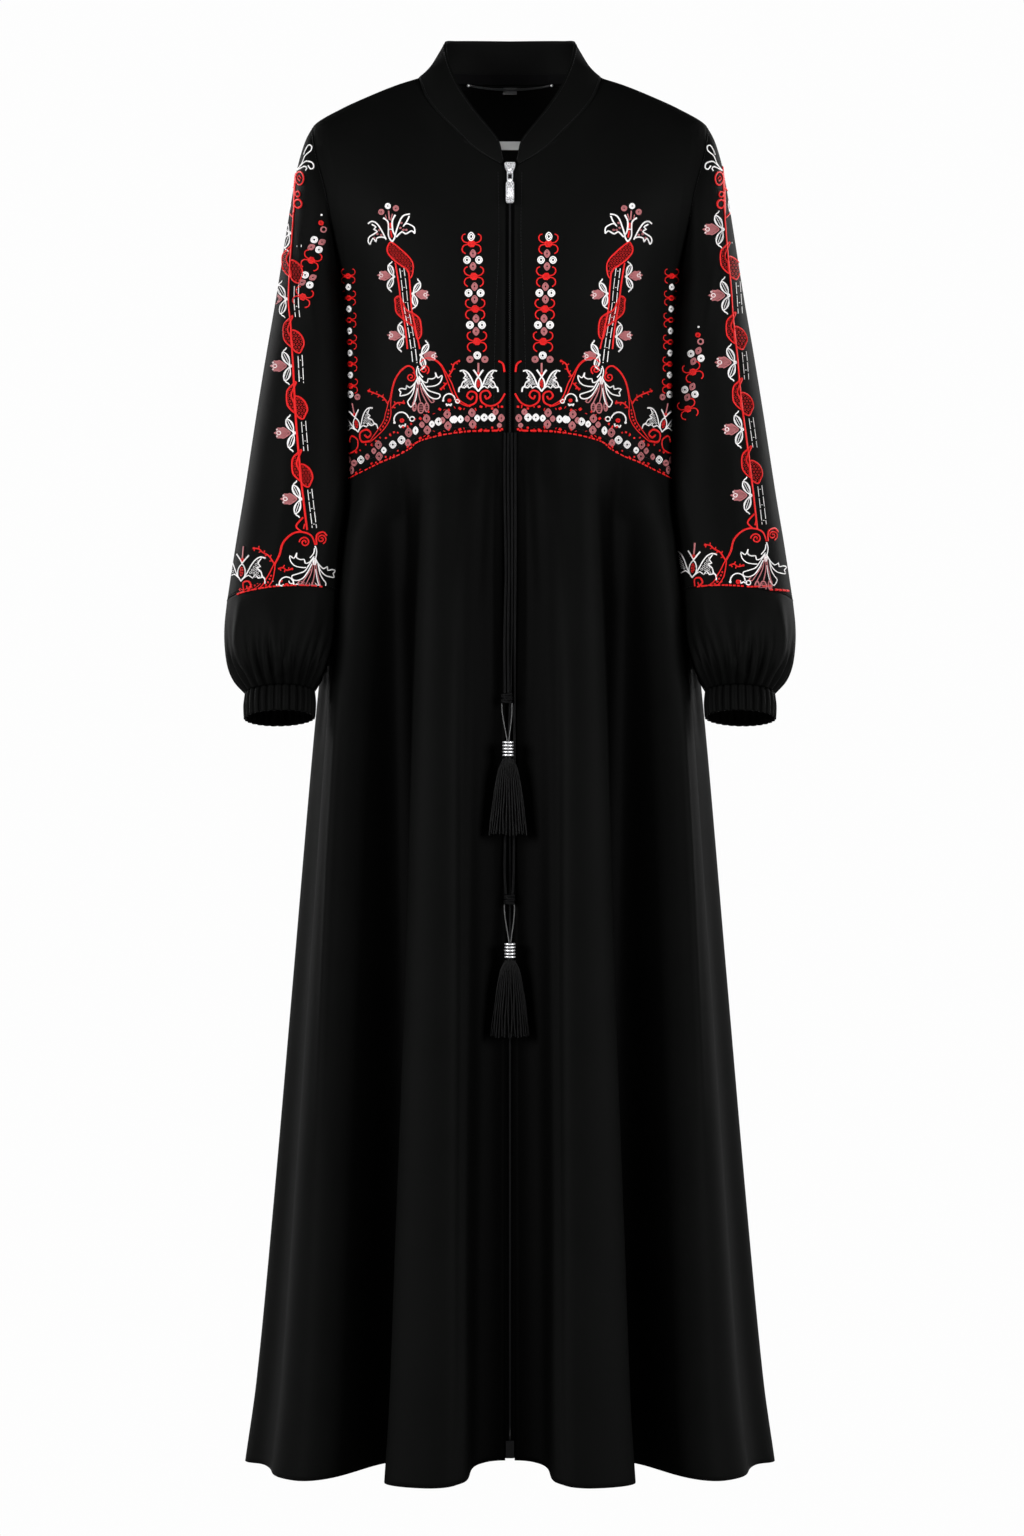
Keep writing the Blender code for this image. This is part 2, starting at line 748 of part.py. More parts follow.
def sleeve_ring(ring, swing, waves):
    """A point of a sleeve ring: swing 0 is the outer side, a quarter turn the front."""
    outer = Vector((ring.outer_x, -ring.forward, -ring.outer_drop))
    inner = Vector((ring.inner_x, -ring.forward, -ring.inner_drop))
    tilt = radians(ring.tilt)
    forward = Vector((0, -cos(tilt), sin(tilt))) * ring.depth
    centre = (outer + inner) / 2
    arm = (outer - inner) / 2 * cos(swing) + forward * sin(swing)
    arm += arm.normalized() * ring.wave * cos(waves * swing)
    return beside_body(centre + arm)


def beside_body(point):
    """Presses a sleeve flat where it lies against the body, just clear of it."""
    drop = -point.z
    depth = value_at(BODY, "front" if point.y < 0 else "back", drop)
    roundness = value_at(BODY, "roundness", drop)
    share = max(0.0, 1 - (abs(point.y) / depth) ** roundness)
    side = value_at(BODY, "half_width", drop) * share ** (1 / roundness)
    return Vector((max(point.x, side + value_at(BESIDE_BODY, "gap", drop)), point.y, point.z))


def sleeve_grid(rings, columns, waves):
    return [[sleeve_ring(ring, 2 * pi * c / columns, waves) for c in range(columns + 1)] for ring in rings]


def seated_on_armhole(points):
    """Eases the first rings of the sleeve into the armhole's own line."""
    for c in range(SLEEVE_COLUMNS + 1):
        step = c if c <= ARMHOLE_STEPS else SLEEVE_COLUMNS - c
        turn, drop = armhole_point(step)
        seat = body_point(pi - turn if c > ARMHOLE_STEPS else turn, drop)
        shift = seat - points[0][c]
        for r in range(ARMHOLE_EASE):
            points[r][c] += shift * (1 - r / ARMHOLE_EASE) ** 2
    return points


def joined_to(points, columns, coarse):
    """Sets the first ring straight between the coarser ring that it is sewn to."""
    per = columns // (len(coarse) - 1)
    for c in range(columns + 1):
        k = min(c // per, len(coarse) - 2)
        points[0][c] = coarse[k].lerp(coarse[k + 1], (c - k * per) / per)
    return points


def ring_facing(points):
    """Directions away from a ring's middle."""
    middle = sum(points[:-1], Vector()) / (len(points) - 1)
    return [(point - middle).normalized() for point in points]


def make_sleeve(garment, side):
    """An embroidered sleeve, a gathered puff below it and a ribbed elastic cuff."""
    upper = seated_on_armhole(sleeve_grid(SLEEVE, SLEEVE_COLUMNS, GATHERS))
    upper_facing = tube_facing(upper)
    for c in range(SLEEVE_COLUMNS + 1):
        back = c > ARMHOLE_STEPS
        upper_facing[0][c] = armhole_facing(SLEEVE_COLUMNS - c if back else c, back)
    upper_facing[-1] = ring_facing(upper[-1])

    puff = joined_to(sleeve_grid(PUFF, PUFF_COLUMNS, GATHERS), PUFF_COLUMNS, upper[-1])
    puff_facing = tube_facing(puff)
    puff_facing[0] = ring_facing(puff[0])
    puff_facing[-1] = ring_facing(puff[-1])

    cuff = sleeve_grid(CUFF, CUFF_COLUMNS, CUFF_RIBS)
    plain = [ring._replace(wave=0) for ring in CUFF]
    plain_grid = sleeve_grid(plain, CUFF_COLUMNS, CUFF_RIBS)
    cuff_inside = [
        [point - way * (WALL + CUFF[0].wave) for point, way in zip(line, ring_facing(line))]
        for line in plain_grid
    ]

    tuck = Vector((SEAM_GAP / 2, 0, 0))
    pieces = (
        (f"sleeve_{side}", upper, upper_facing, None, {"top": tuck, "bottom": True}),
        (f"sleeve_puff_{side}", puff, puff_facing, None, {"top": True, "bottom": True}),
        (f"cuff_{side}", cuff, None, cuff_inside, {"top": True}),
    )
    for name, points, facing, inside, pull in pieces:
        shape = cloth_wall(points, facing, closed=True, inside=inside, pull=pull)
        add_piece(garment, name, flipped(shape) if side == "right" else shape, FABRIC)


def cloth_front(x, drop):
    """How far forward the outer cloth lies at a small distance from the centre front."""
    top = -yoke_seam(0)[0].z
    if drop <= top:
        return body_point(body_turn(x, drop), drop).y
    v = min(1, (drop - top) / (FOLDS[0].hem_drop - top))
    near = skirt_point(0, v)
    for step in range(1, FOLDS[1].column + 1):
        far = skirt_point(step, v)
        if far.x >= x:
            return blend(near.y, far.y, max(0.0, (x - near.x) / (far.x - near.x)))
        near = far
    return near.y


def zip_drops(bottom):
    """The heights at which the zip is set out, level with the rows of the fronts beside it."""
    top = -yoke_seam(0)[0].z
    rows = ARMHOLE_STEPS + SIDE_STEPS
    bodice = [blend(ZIP_TOP, top, r / rows) for r in range(rows)]
    skirt = [blend(top, FOLDS[0].hem_drop, (r / SKIRT_ROWS) ** ROW_EASE) for r in range(SKIRT_ROWS)]
    return bodice + skirt + [bottom]


def plate(points, thickness):
    """A flat piece with its front on these points, facing -Y."""
    facing = [[Vector((0, -1, 0)) for _ in line] for line in points]
    return cloth_wall(points, facing, wall=thickness)


def front_strip(half_width, off, drops, thickness):
    """A flat strip down the centre front, this far behind the outer cloth."""
    points = [
        [Vector((x, cloth_front(FRONT_OPENING, drop) + off, -drop)) for x in (-half_width, half_width)]
        for drop in drops
    ]
    return plate(points, thickness)


def make_zip(garment):
    """Two tapes behind the fronts, the closed chain between them and the box at its foot."""
    tape_front = WALL + SEAM_GAP + TAPE_SPARE
    points = []
    for drop in zip_drops(ZIP_BOTTOM):
        edge = cloth_front(FRONT_OPENING, drop)
        points.append([])
        for x in (SEAM_GAP, FRONT_OPENING, TAPE_HALF_WIDTH):
            points[-1].append(Vector((x, max(cloth_front(x, drop), edge) + tape_front, -drop)))
    add_piece(garment, "zip_tape_left", plate(points, TAPE_WALL), FABRIC)
    add_piece(garment, "zip_tape_right", flipped(plate(points, TAPE_WALL)), FABRIC)
    chain = front_strip(
        CHAIN_HALF_WIDTH, -CHAIN_PROUD, zip_drops(ZIP_BOTTOM), tape_front - SEAM_GAP + CHAIN_PROUD
    )
    add_piece(garment, "zip_chain", chain, BLACK_CORD, 0.4)
    box = front_strip(END_HALF_WIDTH, -END_PROUD, (ZIP_BOTTOM + SEAM_GAP, ZIP_END), END_WALL)
    add_piece(garment, "zip_end", box, BLACK_CORD, 0.4)


def pull_frame():
    """The place of the slider's eye, turned to lean with the cloth behind it."""
    middle = cloth_front(0, HINGE_DROP)
    run = cloth_front(0, HINGE_DROP - HINGE_SPAN) - cloth_front(0, HINGE_DROP + HINGE_SPAN)
    lean = atan2(run, 2 * HINGE_SPAN)
    off = SLIDER_CLEAR + SLIDER_WALL + HINGE_OFF
    spot = Vector((0, middle - cos(lean) * off, sin(lean) * off - HINGE_DROP))
    return Matrix.Translation(spot) @ Matrix.Rotation(-lean, 4, "X")


def placed(shape, frame):
    bmesh.ops.transform(shape, matrix=frame, verts=shape.verts)
    return shape


def hinge_plate(rows, front, thickness):
    points = [[Vector((x, front, -row.down)) for x in (-row.half_width, row.half_width)] for row in rows]
    return plate(points, thickness)


def with_eye(cutters, piece, frame, width):
    """Joins a round eye to a plate and bores it along X."""
    for name, radius, length, operation in (
        ("eye", EYE_RADIUS, width, "UNION"),
        ("bore", EYE_BORE, 4 * width, "DIFFERENCE"),
    ):
        shape = bmesh.new()
        bmesh.ops.create_cone(
            shape, cap_ends=True, segments=EYE_SIDES, radius1=radius, radius2=radius, depth=length
        )
        bmesh.ops.rotate(shape, verts=shape.verts, matrix=Matrix.Rotation(pi / 2, 3, "Y"))
        tool = add_piece(cutters, f"{piece.name}_{name}", placed(shape, frame), SILVER)
        tool.hide_render = True
        tool.display_type = "WIRE"
        change = piece.modifiers.new(name, "BOOLEAN")
        change.operation = operation
        change.object = tool


def make_pull(garment, cutters):
    """The slider with its eye, the wire link that hangs in it and the pull tab on the link."""
    frame = pull_frame()
    shape = placed(hinge_plate(SLIDER_PLATE, HINGE_OFF, SLIDER_WALL), frame)
    slider = add_piece(garment, "zip_slider", shape, SILVER, 0.25, 1)
    with_eye(cutters, slider, frame, SLIDER_EYE)

    ring = []
    for quarter in range(4):
        x_way = 1 if quarter in (0, 3) else -1
        z_way = 1 if quarter in (0, 1) else -1
        for part in range(3):
            turn = pi / 2 * (quarter + part / 2)
            x = x_way * (LINK_HALF_WIDTH - LINK_CORNER) + LINK_CORNER * cos(turn)
            z = z_way * (LINK_LENGTH / 2 - LINK_CORNER) + LINK_CORNER * sin(turn)
            ring.append(frame @ Vector((x, 0, z - LINK_LENGTH / 2)))
    add_tube(garment, "zip_link", ring, LINK_WIRE, SILVER, closed=True, metallic=1)

    shape = placed(hinge_plate(PULL_PLATE, -PULL_WALL / 2, PULL_WALL), frame)
    tab = add_piece(garment, "zip_pull_tab", shape, SILVER, 0.25, 1)
    lower_bar = frame @ Matrix.Translation((0, 0, -LINK_LENGTH))
    with_eye(cutters, tab, lower_bar, PULL_EYE)


def add_tube(garment, name, route, radius, colour, closed=False, metallic=0.0):
    """A round cord or wire along points in millimetres."""
    curve = bpy.data.curves.new(name, "CURVE")
    curve.dimensions = "3D"
    curve.bevel_depth = radius * MM
    curve.bevel_resolution = 2
    curve.use_fill_caps = not closed
    spline = curve.splines.new("POLY")
    spline.points.add(len(route) - 1)
    for point, spot in zip(spline.points, route):
        point.co = (*(spot * MM), 1)
    spline.use_cyclic_u = closed
    curve.materials.append(finish_of(name, colour, 0.4, metallic))
    piece = bpy.data.objects.new(name, curve)
    garment.objects.link(piece)
    return piece


def make_neck_trims(garment):
    """The tape over the back neck seam, the hanger loop, the neck label and the white strip."""
    rows = collar_rows()
    points, facing = [[], []], [[], []]
    for k in range(NECK_STEPS + 2, 2 * NECK_STEPS + 1):
        seam, edge, _ = rows[k]
        own = collar_facing(k, rows)
        above = collar_point(seam, edge, own, 1 / COLLAR_ROWS, k)
        for r, t in enumerate(NECK_TAPE_SPAN):
            points[r].append(seam.lerp(above, t) - own * (WALL + TRIM_CLEAR))
            facing[r].append(own)
    points, facing = both_sides([line[::-1] for line in points], [line[::-1] for line in facing])
    add_piece(garment, "neck_tape", cloth_wall(points, facing, wall=NECK_TAPE_WALL), FABRIC)

    seam_drop = COLLAR[-1].seam_drop
    route = []
    for step in range(HANGER_STEPS + 1):
        across = 2 * step / HANGER_STEPS - 1
        x = HANGER_HALF_SPAN * across
        seam_y = body_point(pi - body_turn(x, seam_drop), seam_drop).y
        y = min(seam_y - WALL - TRIM_CLEAR, LABEL_FRONT - TRIM_CLEAR) - HANGER_RADIUS
        route.append(Vector((x, y, -seam_drop - HANGER_SAG * (1 - across**2))))
    add_tube(garment, "hanger_loop", route, HANGER_RADIUS, BLACK_CORD)

    corners = [
        [Vector((x, LABEL_FRONT, -drop)) for x in (-LABEL_HALF_WIDTH, LABEL_HALF_WIDTH)]
        for drop in (LABEL_TOP, LABEL_BOTTOM)
    ]
    add_piece(garment, "neck_label", plate(corners, LABEL_WALL), FABRIC)

    points, facing = [], []
    for drop in (STRIP_TOP, STRIP_BOTTOM):
        points.append([])
        facing.append([])
        for share in (0, 0.5, 1):
            turn = pi - body_turn(share * STRIP_HALF_WIDTH, drop)
            facing[-1].append(body_facing(turn, drop))
            points[-1].append(body_point(turn, drop) - facing[-1][-1] * (WALL + STRIP_CLEAR))
            if share == 0:
                points[-1][-1].x = 0
    points, facing = both_sides(points, facing)
    add_piece(garment, "white_strip", cloth_wall(points, facing, wall=LABEL_WALL), WHITE_TAPE)


def make_drawcords(garment):
    """Four strands of cord that leave the yoke seam and hang down the centre front."""
    for name, rows in CORDS.items():
        route = []
        steps = round((rows[-1].drop - rows[0].drop) / CORD_STEP)
        for step in range(steps + 1):
            drop = blend(rows[0].drop, rows[-1].drop, step / steps)
            x = value_at(rows, "x", drop)
            off = value_at(rows, "off", drop)
            route.append(Vector((x, cloth_front(abs(x), drop) - off, -drop)))
        add_tube(garment, name, route, CORD_RADIUS, BLACK_CORD)


def turned(profile, sides):
    """A solid of revolution about Z from (radius, height) pairs that start and end on the axis."""
    shape = bmesh.new()
    corners = [shape.verts.new((radius, 0, height)) for radius, height in profile]
    for start, end in zip(corners, corners[1:]):
        shape.edges.new((start, end))
    bmesh.ops.spin(
        shape,
        geom=shape.verts[:] + shape.edges[:],
        axis=(0, 0, 1),
        cent=(0, 0, 0),
        steps=sides,
        angle=2 * pi,
        use_merge=True,
    )
    bmesh.ops.remove_doubles(shape, verts=shape.verts, dist=WELD)
    bmesh.ops.recalc_face_normals(shape, faces=shape.faces)
    return shape


def bumps(count, pitch, radius, groove):
    """A profile with this many round bumps, closed at both ends on the axis."""
    profile = [(0, 0), (radius - groove, 0)]
    for k in range(count):
        for share in BUMP_EDGES:
            profile.append((radius, -pitch * (k + share)))
        profile.append((radius - groove, -pitch * (k + 1)))
    return profile + [(0, -pitch * count)]


def tassel_shape(slope):
    """A domed head whose underside grows into two rounds of strands, leaning with the cloth."""
    head = [(0, 0)] + [(row.across, -row.down) for row in TASSEL_HEAD]
    foot = -TASSEL_HEAD[-1].down
    shape = turned(head + [(radius, foot) for radius in TASSEL_ROUNDS] + [(0, foot)], TASSEL_STRANDS)
    under = [face for face in shape.faces if face.normal.z < FACING_DOWN and len(face.verts) == 4]
    bmesh.ops.inset_individual(shape, faces=under, thickness=STRAND_SPACE)
    for face in under:
        middle = face.calc_center_median().xy
        if middle.length > TASSEL_ROUNDS[0]:
            grow_strand(shape, face, middle.normalized(), TASSEL_FALL, 1)
        else:
            grow_strand(shape, face, middle.normalized(), TASSEL_FALL[-1:], INNER_SHARE)
    bmesh.ops.recalc_face_normals(shape, faces=shape.faces)
    for corner in shape.verts:
        corner.co.y += slope * corner.co.z
    return shape


def grow_strand(shape, face, way, rows, share):
    """Extrudes one face of the head down to the tassel's foot, spreading out as it falls."""
    ahead = Vector((way.x, way.y, 0))
    side = Vector((-way.y, way.x, 0))
    for row in rows:
        face = bmesh.ops.extrude_discrete_faces(shape, faces=[face])["faces"][0]
        middle = face.calc_center_median()
        target = Vector((way.x * row.across * share, way.y * row.deep * share, -row.down))
        for corner in face.verts:
            away = corner.co - middle
            across = row.strand / 2 * (1 if away.dot(side) > 0 else -1)
            along = row.strand * STRAND_DEPTH / 2 * (1 if away.dot(ahead) > 0 else -1)
            corner.co = target + side * across + ahead * along


def make_tassels(garment):
    """On each drawcord a wrapped knot, a thin loop, a barrel of silver rings and a tassel."""
    for which, place in TASSELS.items():
        knot_bottom = place.knot_top + KNOT_HEIGHT
        rings_top = knot_bottom + LOOP_LENGTH
        tassel_top = rings_top + RINGS * RING_PITCH + 2 * CLEAR
        fall = TASSEL_FALL[-1].down
        hang_y = cloth_front(0, rings_top) - place.off

        knot = turned(bumps(KNOT_WRAPS, KNOT_HEIGHT / KNOT_WRAPS, KNOT_RADIUS, WRAP_GROOVE), TURNED_SIDES)
        bmesh.ops.scale(knot, vec=Vector((KNOT_STRETCH, 1, 1)), verts=knot.verts)
        knot_y = cloth_front(0, place.knot_top) - place.knot_off
        move = Vector((place.knot_x, knot_y, -place.knot_top))
        bmesh.ops.translate(knot, verts=knot.verts, vec=move)
        add_piece(garment, f"cord_knot_{which}", knot, BLACK_CORD, 0.5)

        for side, way in (("a", -1), ("b", 1)):
            start = Vector((place.knot_x + way * LOOP_SPREAD, knot_y, -knot_bottom - CLEAR))
            end = Vector((place.x + way * LOOP_CLOSE, hang_y, CLEAR - rings_top))
            route = [start.lerp(end, step / LOOP_STEPS) for step in range(LOOP_STEPS + 1)]
            add_tube(garment, f"tassel_loop_{which}_{side}", route, LOOP_RADIUS, BLACK_CORD)

        rings = turned(bumps(RINGS, RING_PITCH, RING_RADIUS, RING_GROOVE), TURNED_SIDES)
        bmesh.ops.translate(rings, verts=rings.verts, vec=Vector((place.x, hang_y, -rings_top)))
        add_piece(garment, f"tassel_rings_{which}", rings, SILVER, 0.25, 1)

        slope = (cloth_front(0, tassel_top) - cloth_front(0, tassel_top + fall)) / fall
        tassel = tassel_shape(slope)
        bmesh.ops.translate(tassel, verts=tassel.verts, vec=Vector((place.x, hang_y, -tassel_top)))
        add_piece(garment, f"tassel_{which}", tassel, BLACK_CORD, 0.6)


def main():
    garment = start_scene()
    cutters = bpy.data.collections.new("cutters")
    bpy.context.scene.collection.children.link(cutters)
    make_bodice(garment)
    make_skirt(garment)
    make_collar(garment)
    make_sleeve(garment, "left")
    make_sleeve(garment, "right")
    make_zip(garment)
    make_pull(garment, cutters)
    make_neck_trims(garment)
    make_drawcords(garment)
    make_tassels(garment)


main()
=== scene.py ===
import random
from collections import namedtuple
from math import atan2, cos, pi, radians, sin

import bmesh
import bpy
import numpy as np
from mathutils import Matrix, Vector
from mathutils.bvhtree import BVHTree


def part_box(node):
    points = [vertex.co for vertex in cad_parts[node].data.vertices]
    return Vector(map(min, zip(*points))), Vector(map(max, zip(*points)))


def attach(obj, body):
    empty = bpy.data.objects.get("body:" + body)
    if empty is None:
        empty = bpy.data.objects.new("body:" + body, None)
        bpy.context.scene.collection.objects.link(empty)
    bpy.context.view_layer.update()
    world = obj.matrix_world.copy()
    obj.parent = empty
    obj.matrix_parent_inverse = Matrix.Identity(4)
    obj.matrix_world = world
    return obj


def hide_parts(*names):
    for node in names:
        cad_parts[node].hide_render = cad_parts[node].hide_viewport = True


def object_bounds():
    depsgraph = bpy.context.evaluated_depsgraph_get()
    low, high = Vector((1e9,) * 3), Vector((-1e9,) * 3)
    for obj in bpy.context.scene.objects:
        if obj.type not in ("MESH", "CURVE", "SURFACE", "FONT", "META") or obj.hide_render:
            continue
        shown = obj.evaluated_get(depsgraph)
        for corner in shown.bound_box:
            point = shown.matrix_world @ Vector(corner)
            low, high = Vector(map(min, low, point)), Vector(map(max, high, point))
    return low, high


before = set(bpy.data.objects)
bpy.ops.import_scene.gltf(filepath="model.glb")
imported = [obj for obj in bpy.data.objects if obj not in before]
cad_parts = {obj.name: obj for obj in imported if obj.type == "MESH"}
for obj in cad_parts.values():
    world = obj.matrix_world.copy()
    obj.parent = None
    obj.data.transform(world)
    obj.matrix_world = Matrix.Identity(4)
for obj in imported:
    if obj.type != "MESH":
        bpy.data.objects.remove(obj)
cad_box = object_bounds()
MM = 0.001
chance = random.Random(7)

# Camera, light and floor. The garment is seen straight from the front, from 4.5 m away, on a white
# floor that runs into a white backdrop, under soft lamps either side of the camera, two behind the
# garment and a narrow one that reaches into the neck.
EYE = Vector((0.002, -4.5, -0.688))
SENSOR_WIDTH = 36
FOCAL_LENGTH = 105.47
camera_data = bpy.data.cameras.new("front_camera")
camera_data.sensor_width = SENSOR_WIDTH
camera_data.sensor_fit = "AUTO"
camera_data.lens = FOCAL_LENGTH
camera = bpy.data.objects.new("front_camera", camera_data)
camera.location = EYE
camera.rotation_euler = (pi / 2, 0, 0)
bpy.context.scene.collection.objects.link(camera)
bpy.context.scene.camera = camera
bpy.context.scene.view_settings.view_transform = "Standard"

Lamp = namedtuple("Lamp", "x y z size power")
LAMPS = [
    Lamp(-3.9, -2.8, 0.5, 2.0, 298),
    Lamp(3.9, -2.8, 0.4, 2.0, 270),
    Lamp(-3.2, 3, 0.8, 2.2, 110),
    Lamp(3.2, 3, 0.8, 2.2, 110),
]
LAMP_AIM = Vector((0, 0, -0.6))
NECK_LAMP = Vector((0.1, -3, 0.05))
NECK_SPOT = Vector((0, -0.05, -0.08))
NECK_POWER = 330
NECK_CONE = 4.6
NECK_LAMP_RADIUS = 0.12


def hang_lamp(name, kind, power, place, aim):
    """A lamp at a place, turned towards a point."""
    light = bpy.data.lights.new(name, kind)
    light.energy = power
    holder = bpy.data.objects.new(name, light)
    holder.location = place
    holder.rotation_euler = (aim - holder.location).to_track_quat("-Z", "Y").to_euler()
    bpy.context.scene.collection.objects.link(holder)
    return light


for number, lamp in enumerate(LAMPS):
    light = hang_lamp(f"soft_lamp_{number}", "AREA", lamp.power, (lamp.x, lamp.y, lamp.z), LAMP_AIM)
    light.size = lamp.size
light = hang_lamp("neck_lamp", "SPOT", NECK_POWER, NECK_LAMP, NECK_SPOT)
light.shadow_soft_size = NECK_LAMP_RADIUS
light.spot_size = radians(NECK_CONE)
light.spot_blend = 1

WHITE_TO_CAMERA = 0.985
AMBIENT = 0.03
world = bpy.data.worlds.new("studio")
world.use_nodes = True
bpy.context.scene.world = world
nodes, links = world.node_tree.nodes, world.node_tree.links
path = nodes.new("ShaderNodeLightPath")
strength = nodes.new("ShaderNodeMapRange")
strength.inputs["To Min"].default_value = AMBIENT
strength.inputs["To Max"].default_value = WHITE_TO_CAMERA
links.new(path.outputs["Is Camera Ray"], strength.inputs["Value"])
nodes["Background"].inputs["Color"].default_value = (1, 1, 1, 1)
links.new(strength.outputs["Result"], nodes["Background"].inputs["Strength"])

FLOOR_HALF_SIDE = 40
FLOOR_GREY = 0.7
FLOOR_ROUGHNESS = 0.9
floor_material = bpy.data.materials.new("pale_floor")
floor_material.use_nodes = True
nodes, links = floor_material.node_tree.nodes, floor_material.node_tree.links
glow = nodes.new("ShaderNodeEmission")
glow.inputs["Strength"].default_value = WHITE_TO_CAMERA
path = nodes.new("ShaderNodeLightPath")
mix = nodes.new("ShaderNodeMixShader")
nodes["Principled BSDF"].inputs["Base Color"].default_value = (FLOOR_GREY, FLOOR_GREY, FLOOR_GREY, 1)
nodes["Principled BSDF"].inputs["Roughness"].default_value = FLOOR_ROUGHNESS
links.new(path.outputs["Is Camera Ray"], mix.inputs["Fac"])
links.new(nodes["Principled BSDF"].outputs["BSDF"], mix.inputs[1])
links.new(glow.outputs["Emission"], mix.inputs[2])
links.new(mix.outputs["Shader"], nodes["Material Output"].inputs["Surface"])
shape = bmesh.new()
bmesh.ops.create_grid(shape, x_segments=1, y_segments=1, size=FLOOR_HALF_SIDE)
bmesh.ops.translate(shape, verts=shape.verts, vec=Vector((0, 0, cad_box[0][2] - MM)))
mesh = bpy.data.meshes.new("floor")
shape.to_mesh(mesh)
mesh.materials.append(floor_material)
floor = bpy.data.objects.new("floor", mesh)
bpy.context.scene.collection.objects.link(floor)

# Drawcords: four strands of round black braid, 2.6 mm thick, that leave the yoke seam at the centre
# front and hang down over the skirt, two to each tassel.
Route = namedtuple("Route", "drop x off")
CORDS = {
    "upper_a": [
        Route(361.6, -5.0, 1.7),
        Route(406, -5.3, 2.6),
        Route(450, -4.7, 2.2),
        Route(500, -4.0, 2.8),
        Route(529, -4.7, 3.4),
        Route(570, -5.4, 4.8),
        Route(600, -5.1, 6.2),
        Route(615.2, -4.9, 6.9),
    ],
    "upper_b": [
        Route(361.6, -1.7, 1.7),
        Route(406, -1.9, 2.7),
        Route(450, -1.4, 2.2),
        Route(500, -0.9, 2.8),
        Route(529, -1.5, 3.4),
        Route(570, -2.0, 4.8),
        Route(600, -1.6, 6.2),
        Route(615.2, -1.5, 6.9),
    ],
    "lower_a": [
        Route(361.6, 1.7, 1.9),
        Route(406, 1.9, 2.8),
        Route(450, 2.1, 2.2),
        Route(529, 1.7, 1.9),
        Route(600, 0.6, 1.8),
        Route(680, -1.6, 1.8),
        Route(750, -4.6, 1.9),
        Route(790, -5.2, 2.6),
        Route(810.6, -4.0, 4.2),
    ],
    "lower_b": [
        Route(361.6, 5.1, 2),
        Route(406, 5.2, 2.7),
        Route(450, 5.4, 2.2),
        Route(529, 5.0, 1.9),
        Route(600, 4.4, 1.8),
        Route(680, 4.2, 1.8),
        Route(750, 3.9, 1.9),
        Route(790, 3.6, 2.6),
        Route(810.6, 2.6, 4.2),
    ],
}
CORD_RADIUS = 1.3
CORD_STEP = 9
CORD_SMOOTHINGS = 3
FRONT_OPENING = 4.5
EDGE_SPARE = 0.3
BRAID_SLANT = 0.6
BRAID_UNEVEN = 0.6
BRAID_LEAST_SHADE = 0.55
# How dark a yarn colour goes where its shade is least: painted shade in the grooves between yarns and
# fibres, and on the crepe a darker tone in its random cloud.
GROOVE_SHADE_AND_TONE = 0.35


def smooth_step(t, start, lean_in, end, lean_out):
    """The cubic from one value to the next that leaves and arrives with the given leans."""
    return (
        start * (2 * t**3 - 3 * t**2 + 1)
        + lean_in * (t**3 - 2 * t**2 + t)
        + end * (3 * t**2 - 2 * t**3)
        + lean_out * (t**3 - t**2)
    )


def value_at(rows, column, place):
    """A column's value on a smooth curve through the rows, keyed by their first column."""
    keys = np.array([row[0] for row in rows], float)
    values = np.array([getattr(row, column) for row in rows], float)
    slope = np.empty(len(rows))
    slope[1:-1] = (values[2:] - values[:-2]) / (keys[2:] - keys[:-2])
    slope[0] = (values[1] - values[0]) / (keys[1] - keys[0])
    slope[-1] = (values[-1] - values[-2]) / (keys[-1] - keys[-2])
    place = np.clip(place, keys[0], keys[-1])
    low = np.clip(np.searchsorted(keys, place, side="right") - 1, 0, len(keys) - 2)
    span = keys[low + 1] - keys[low]
    t = (place - keys[low]) / span
    return smooth_step(t, values[low], slope[low] * span, values[low + 1], slope[low + 1] * span)


def search_tree(*names):
    """The faces of these solids, for finding where their cloth lies."""
    shape = bmesh.new()
    for name in names:
        shape.from_mesh(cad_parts[name].data)
    tree = BVHTree.FromBMesh(shape)
    shape.free()
    return tree


FRONTS = ("bodice_front_left", "bodice_front_right", "skirt_front_left", "skirt_front_right")
front_cloth = search_tree(*FRONTS)


def cloth_front(x, drop):
    """How far forward the cloth lies near the centre front, in millimetres."""
    side = -1 if x < 0 else 1
    aside = side * max(abs(x), FRONT_OPENING + EDGE_SPARE)
    for past_seam in (0, 1, -1):
        start = Vector((aside * MM, -1, -(drop + past_seam) * MM))
        place = front_cloth.ray_cast(start, Vector((0, 1, 0)))[0]
        if place:
            break
    return place.y / MM


def surface_group(name):
    """An empty node group that takes a vector and a scale and gives a height and a shade."""
    group = bpy.data.node_groups.new(name, "ShaderNodeTree")
    group.interface.new_socket("Vector", in_out="INPUT", socket_type="NodeSocketVector")
    group.interface.new_socket("Scale", in_out="INPUT", socket_type="NodeSocketFloat")
    group.interface.new_socket("Height", in_out="OUTPUT", socket_type="NodeSocketFloat")
    group.interface.new_socket("Shade", in_out="OUTPUT", socket_type="NodeSocketFloat")
    start = group.nodes.new("NodeGroupInput")
    end = group.nodes.new("NodeGroupOutput")
    return group, start, end


def crossed(group, end, waves, least_shade):
    """Two sets of waves that cross: their product is the height, and lifted it is the shade, a painted
    shade that darkens the grooves between the yarns.
    """
    both = group.nodes.new("ShaderNodeMath")
    both.operation = "MULTIPLY"
    for wave, socket in zip(waves, both.inputs):
        group.links.new(wave.outputs["Fac"], socket)
    lift = group.nodes.new("ShaderNodeMapRange")
    lift.inputs["To Min"].default_value = least_shade
    group.links.new(both.outputs["Value"], lift.inputs["Value"])
    group.links.new(both.outputs["Value"], end.inputs["Height"])
    group.links.new(lift.outputs["Result"], end.inputs["Shade"])


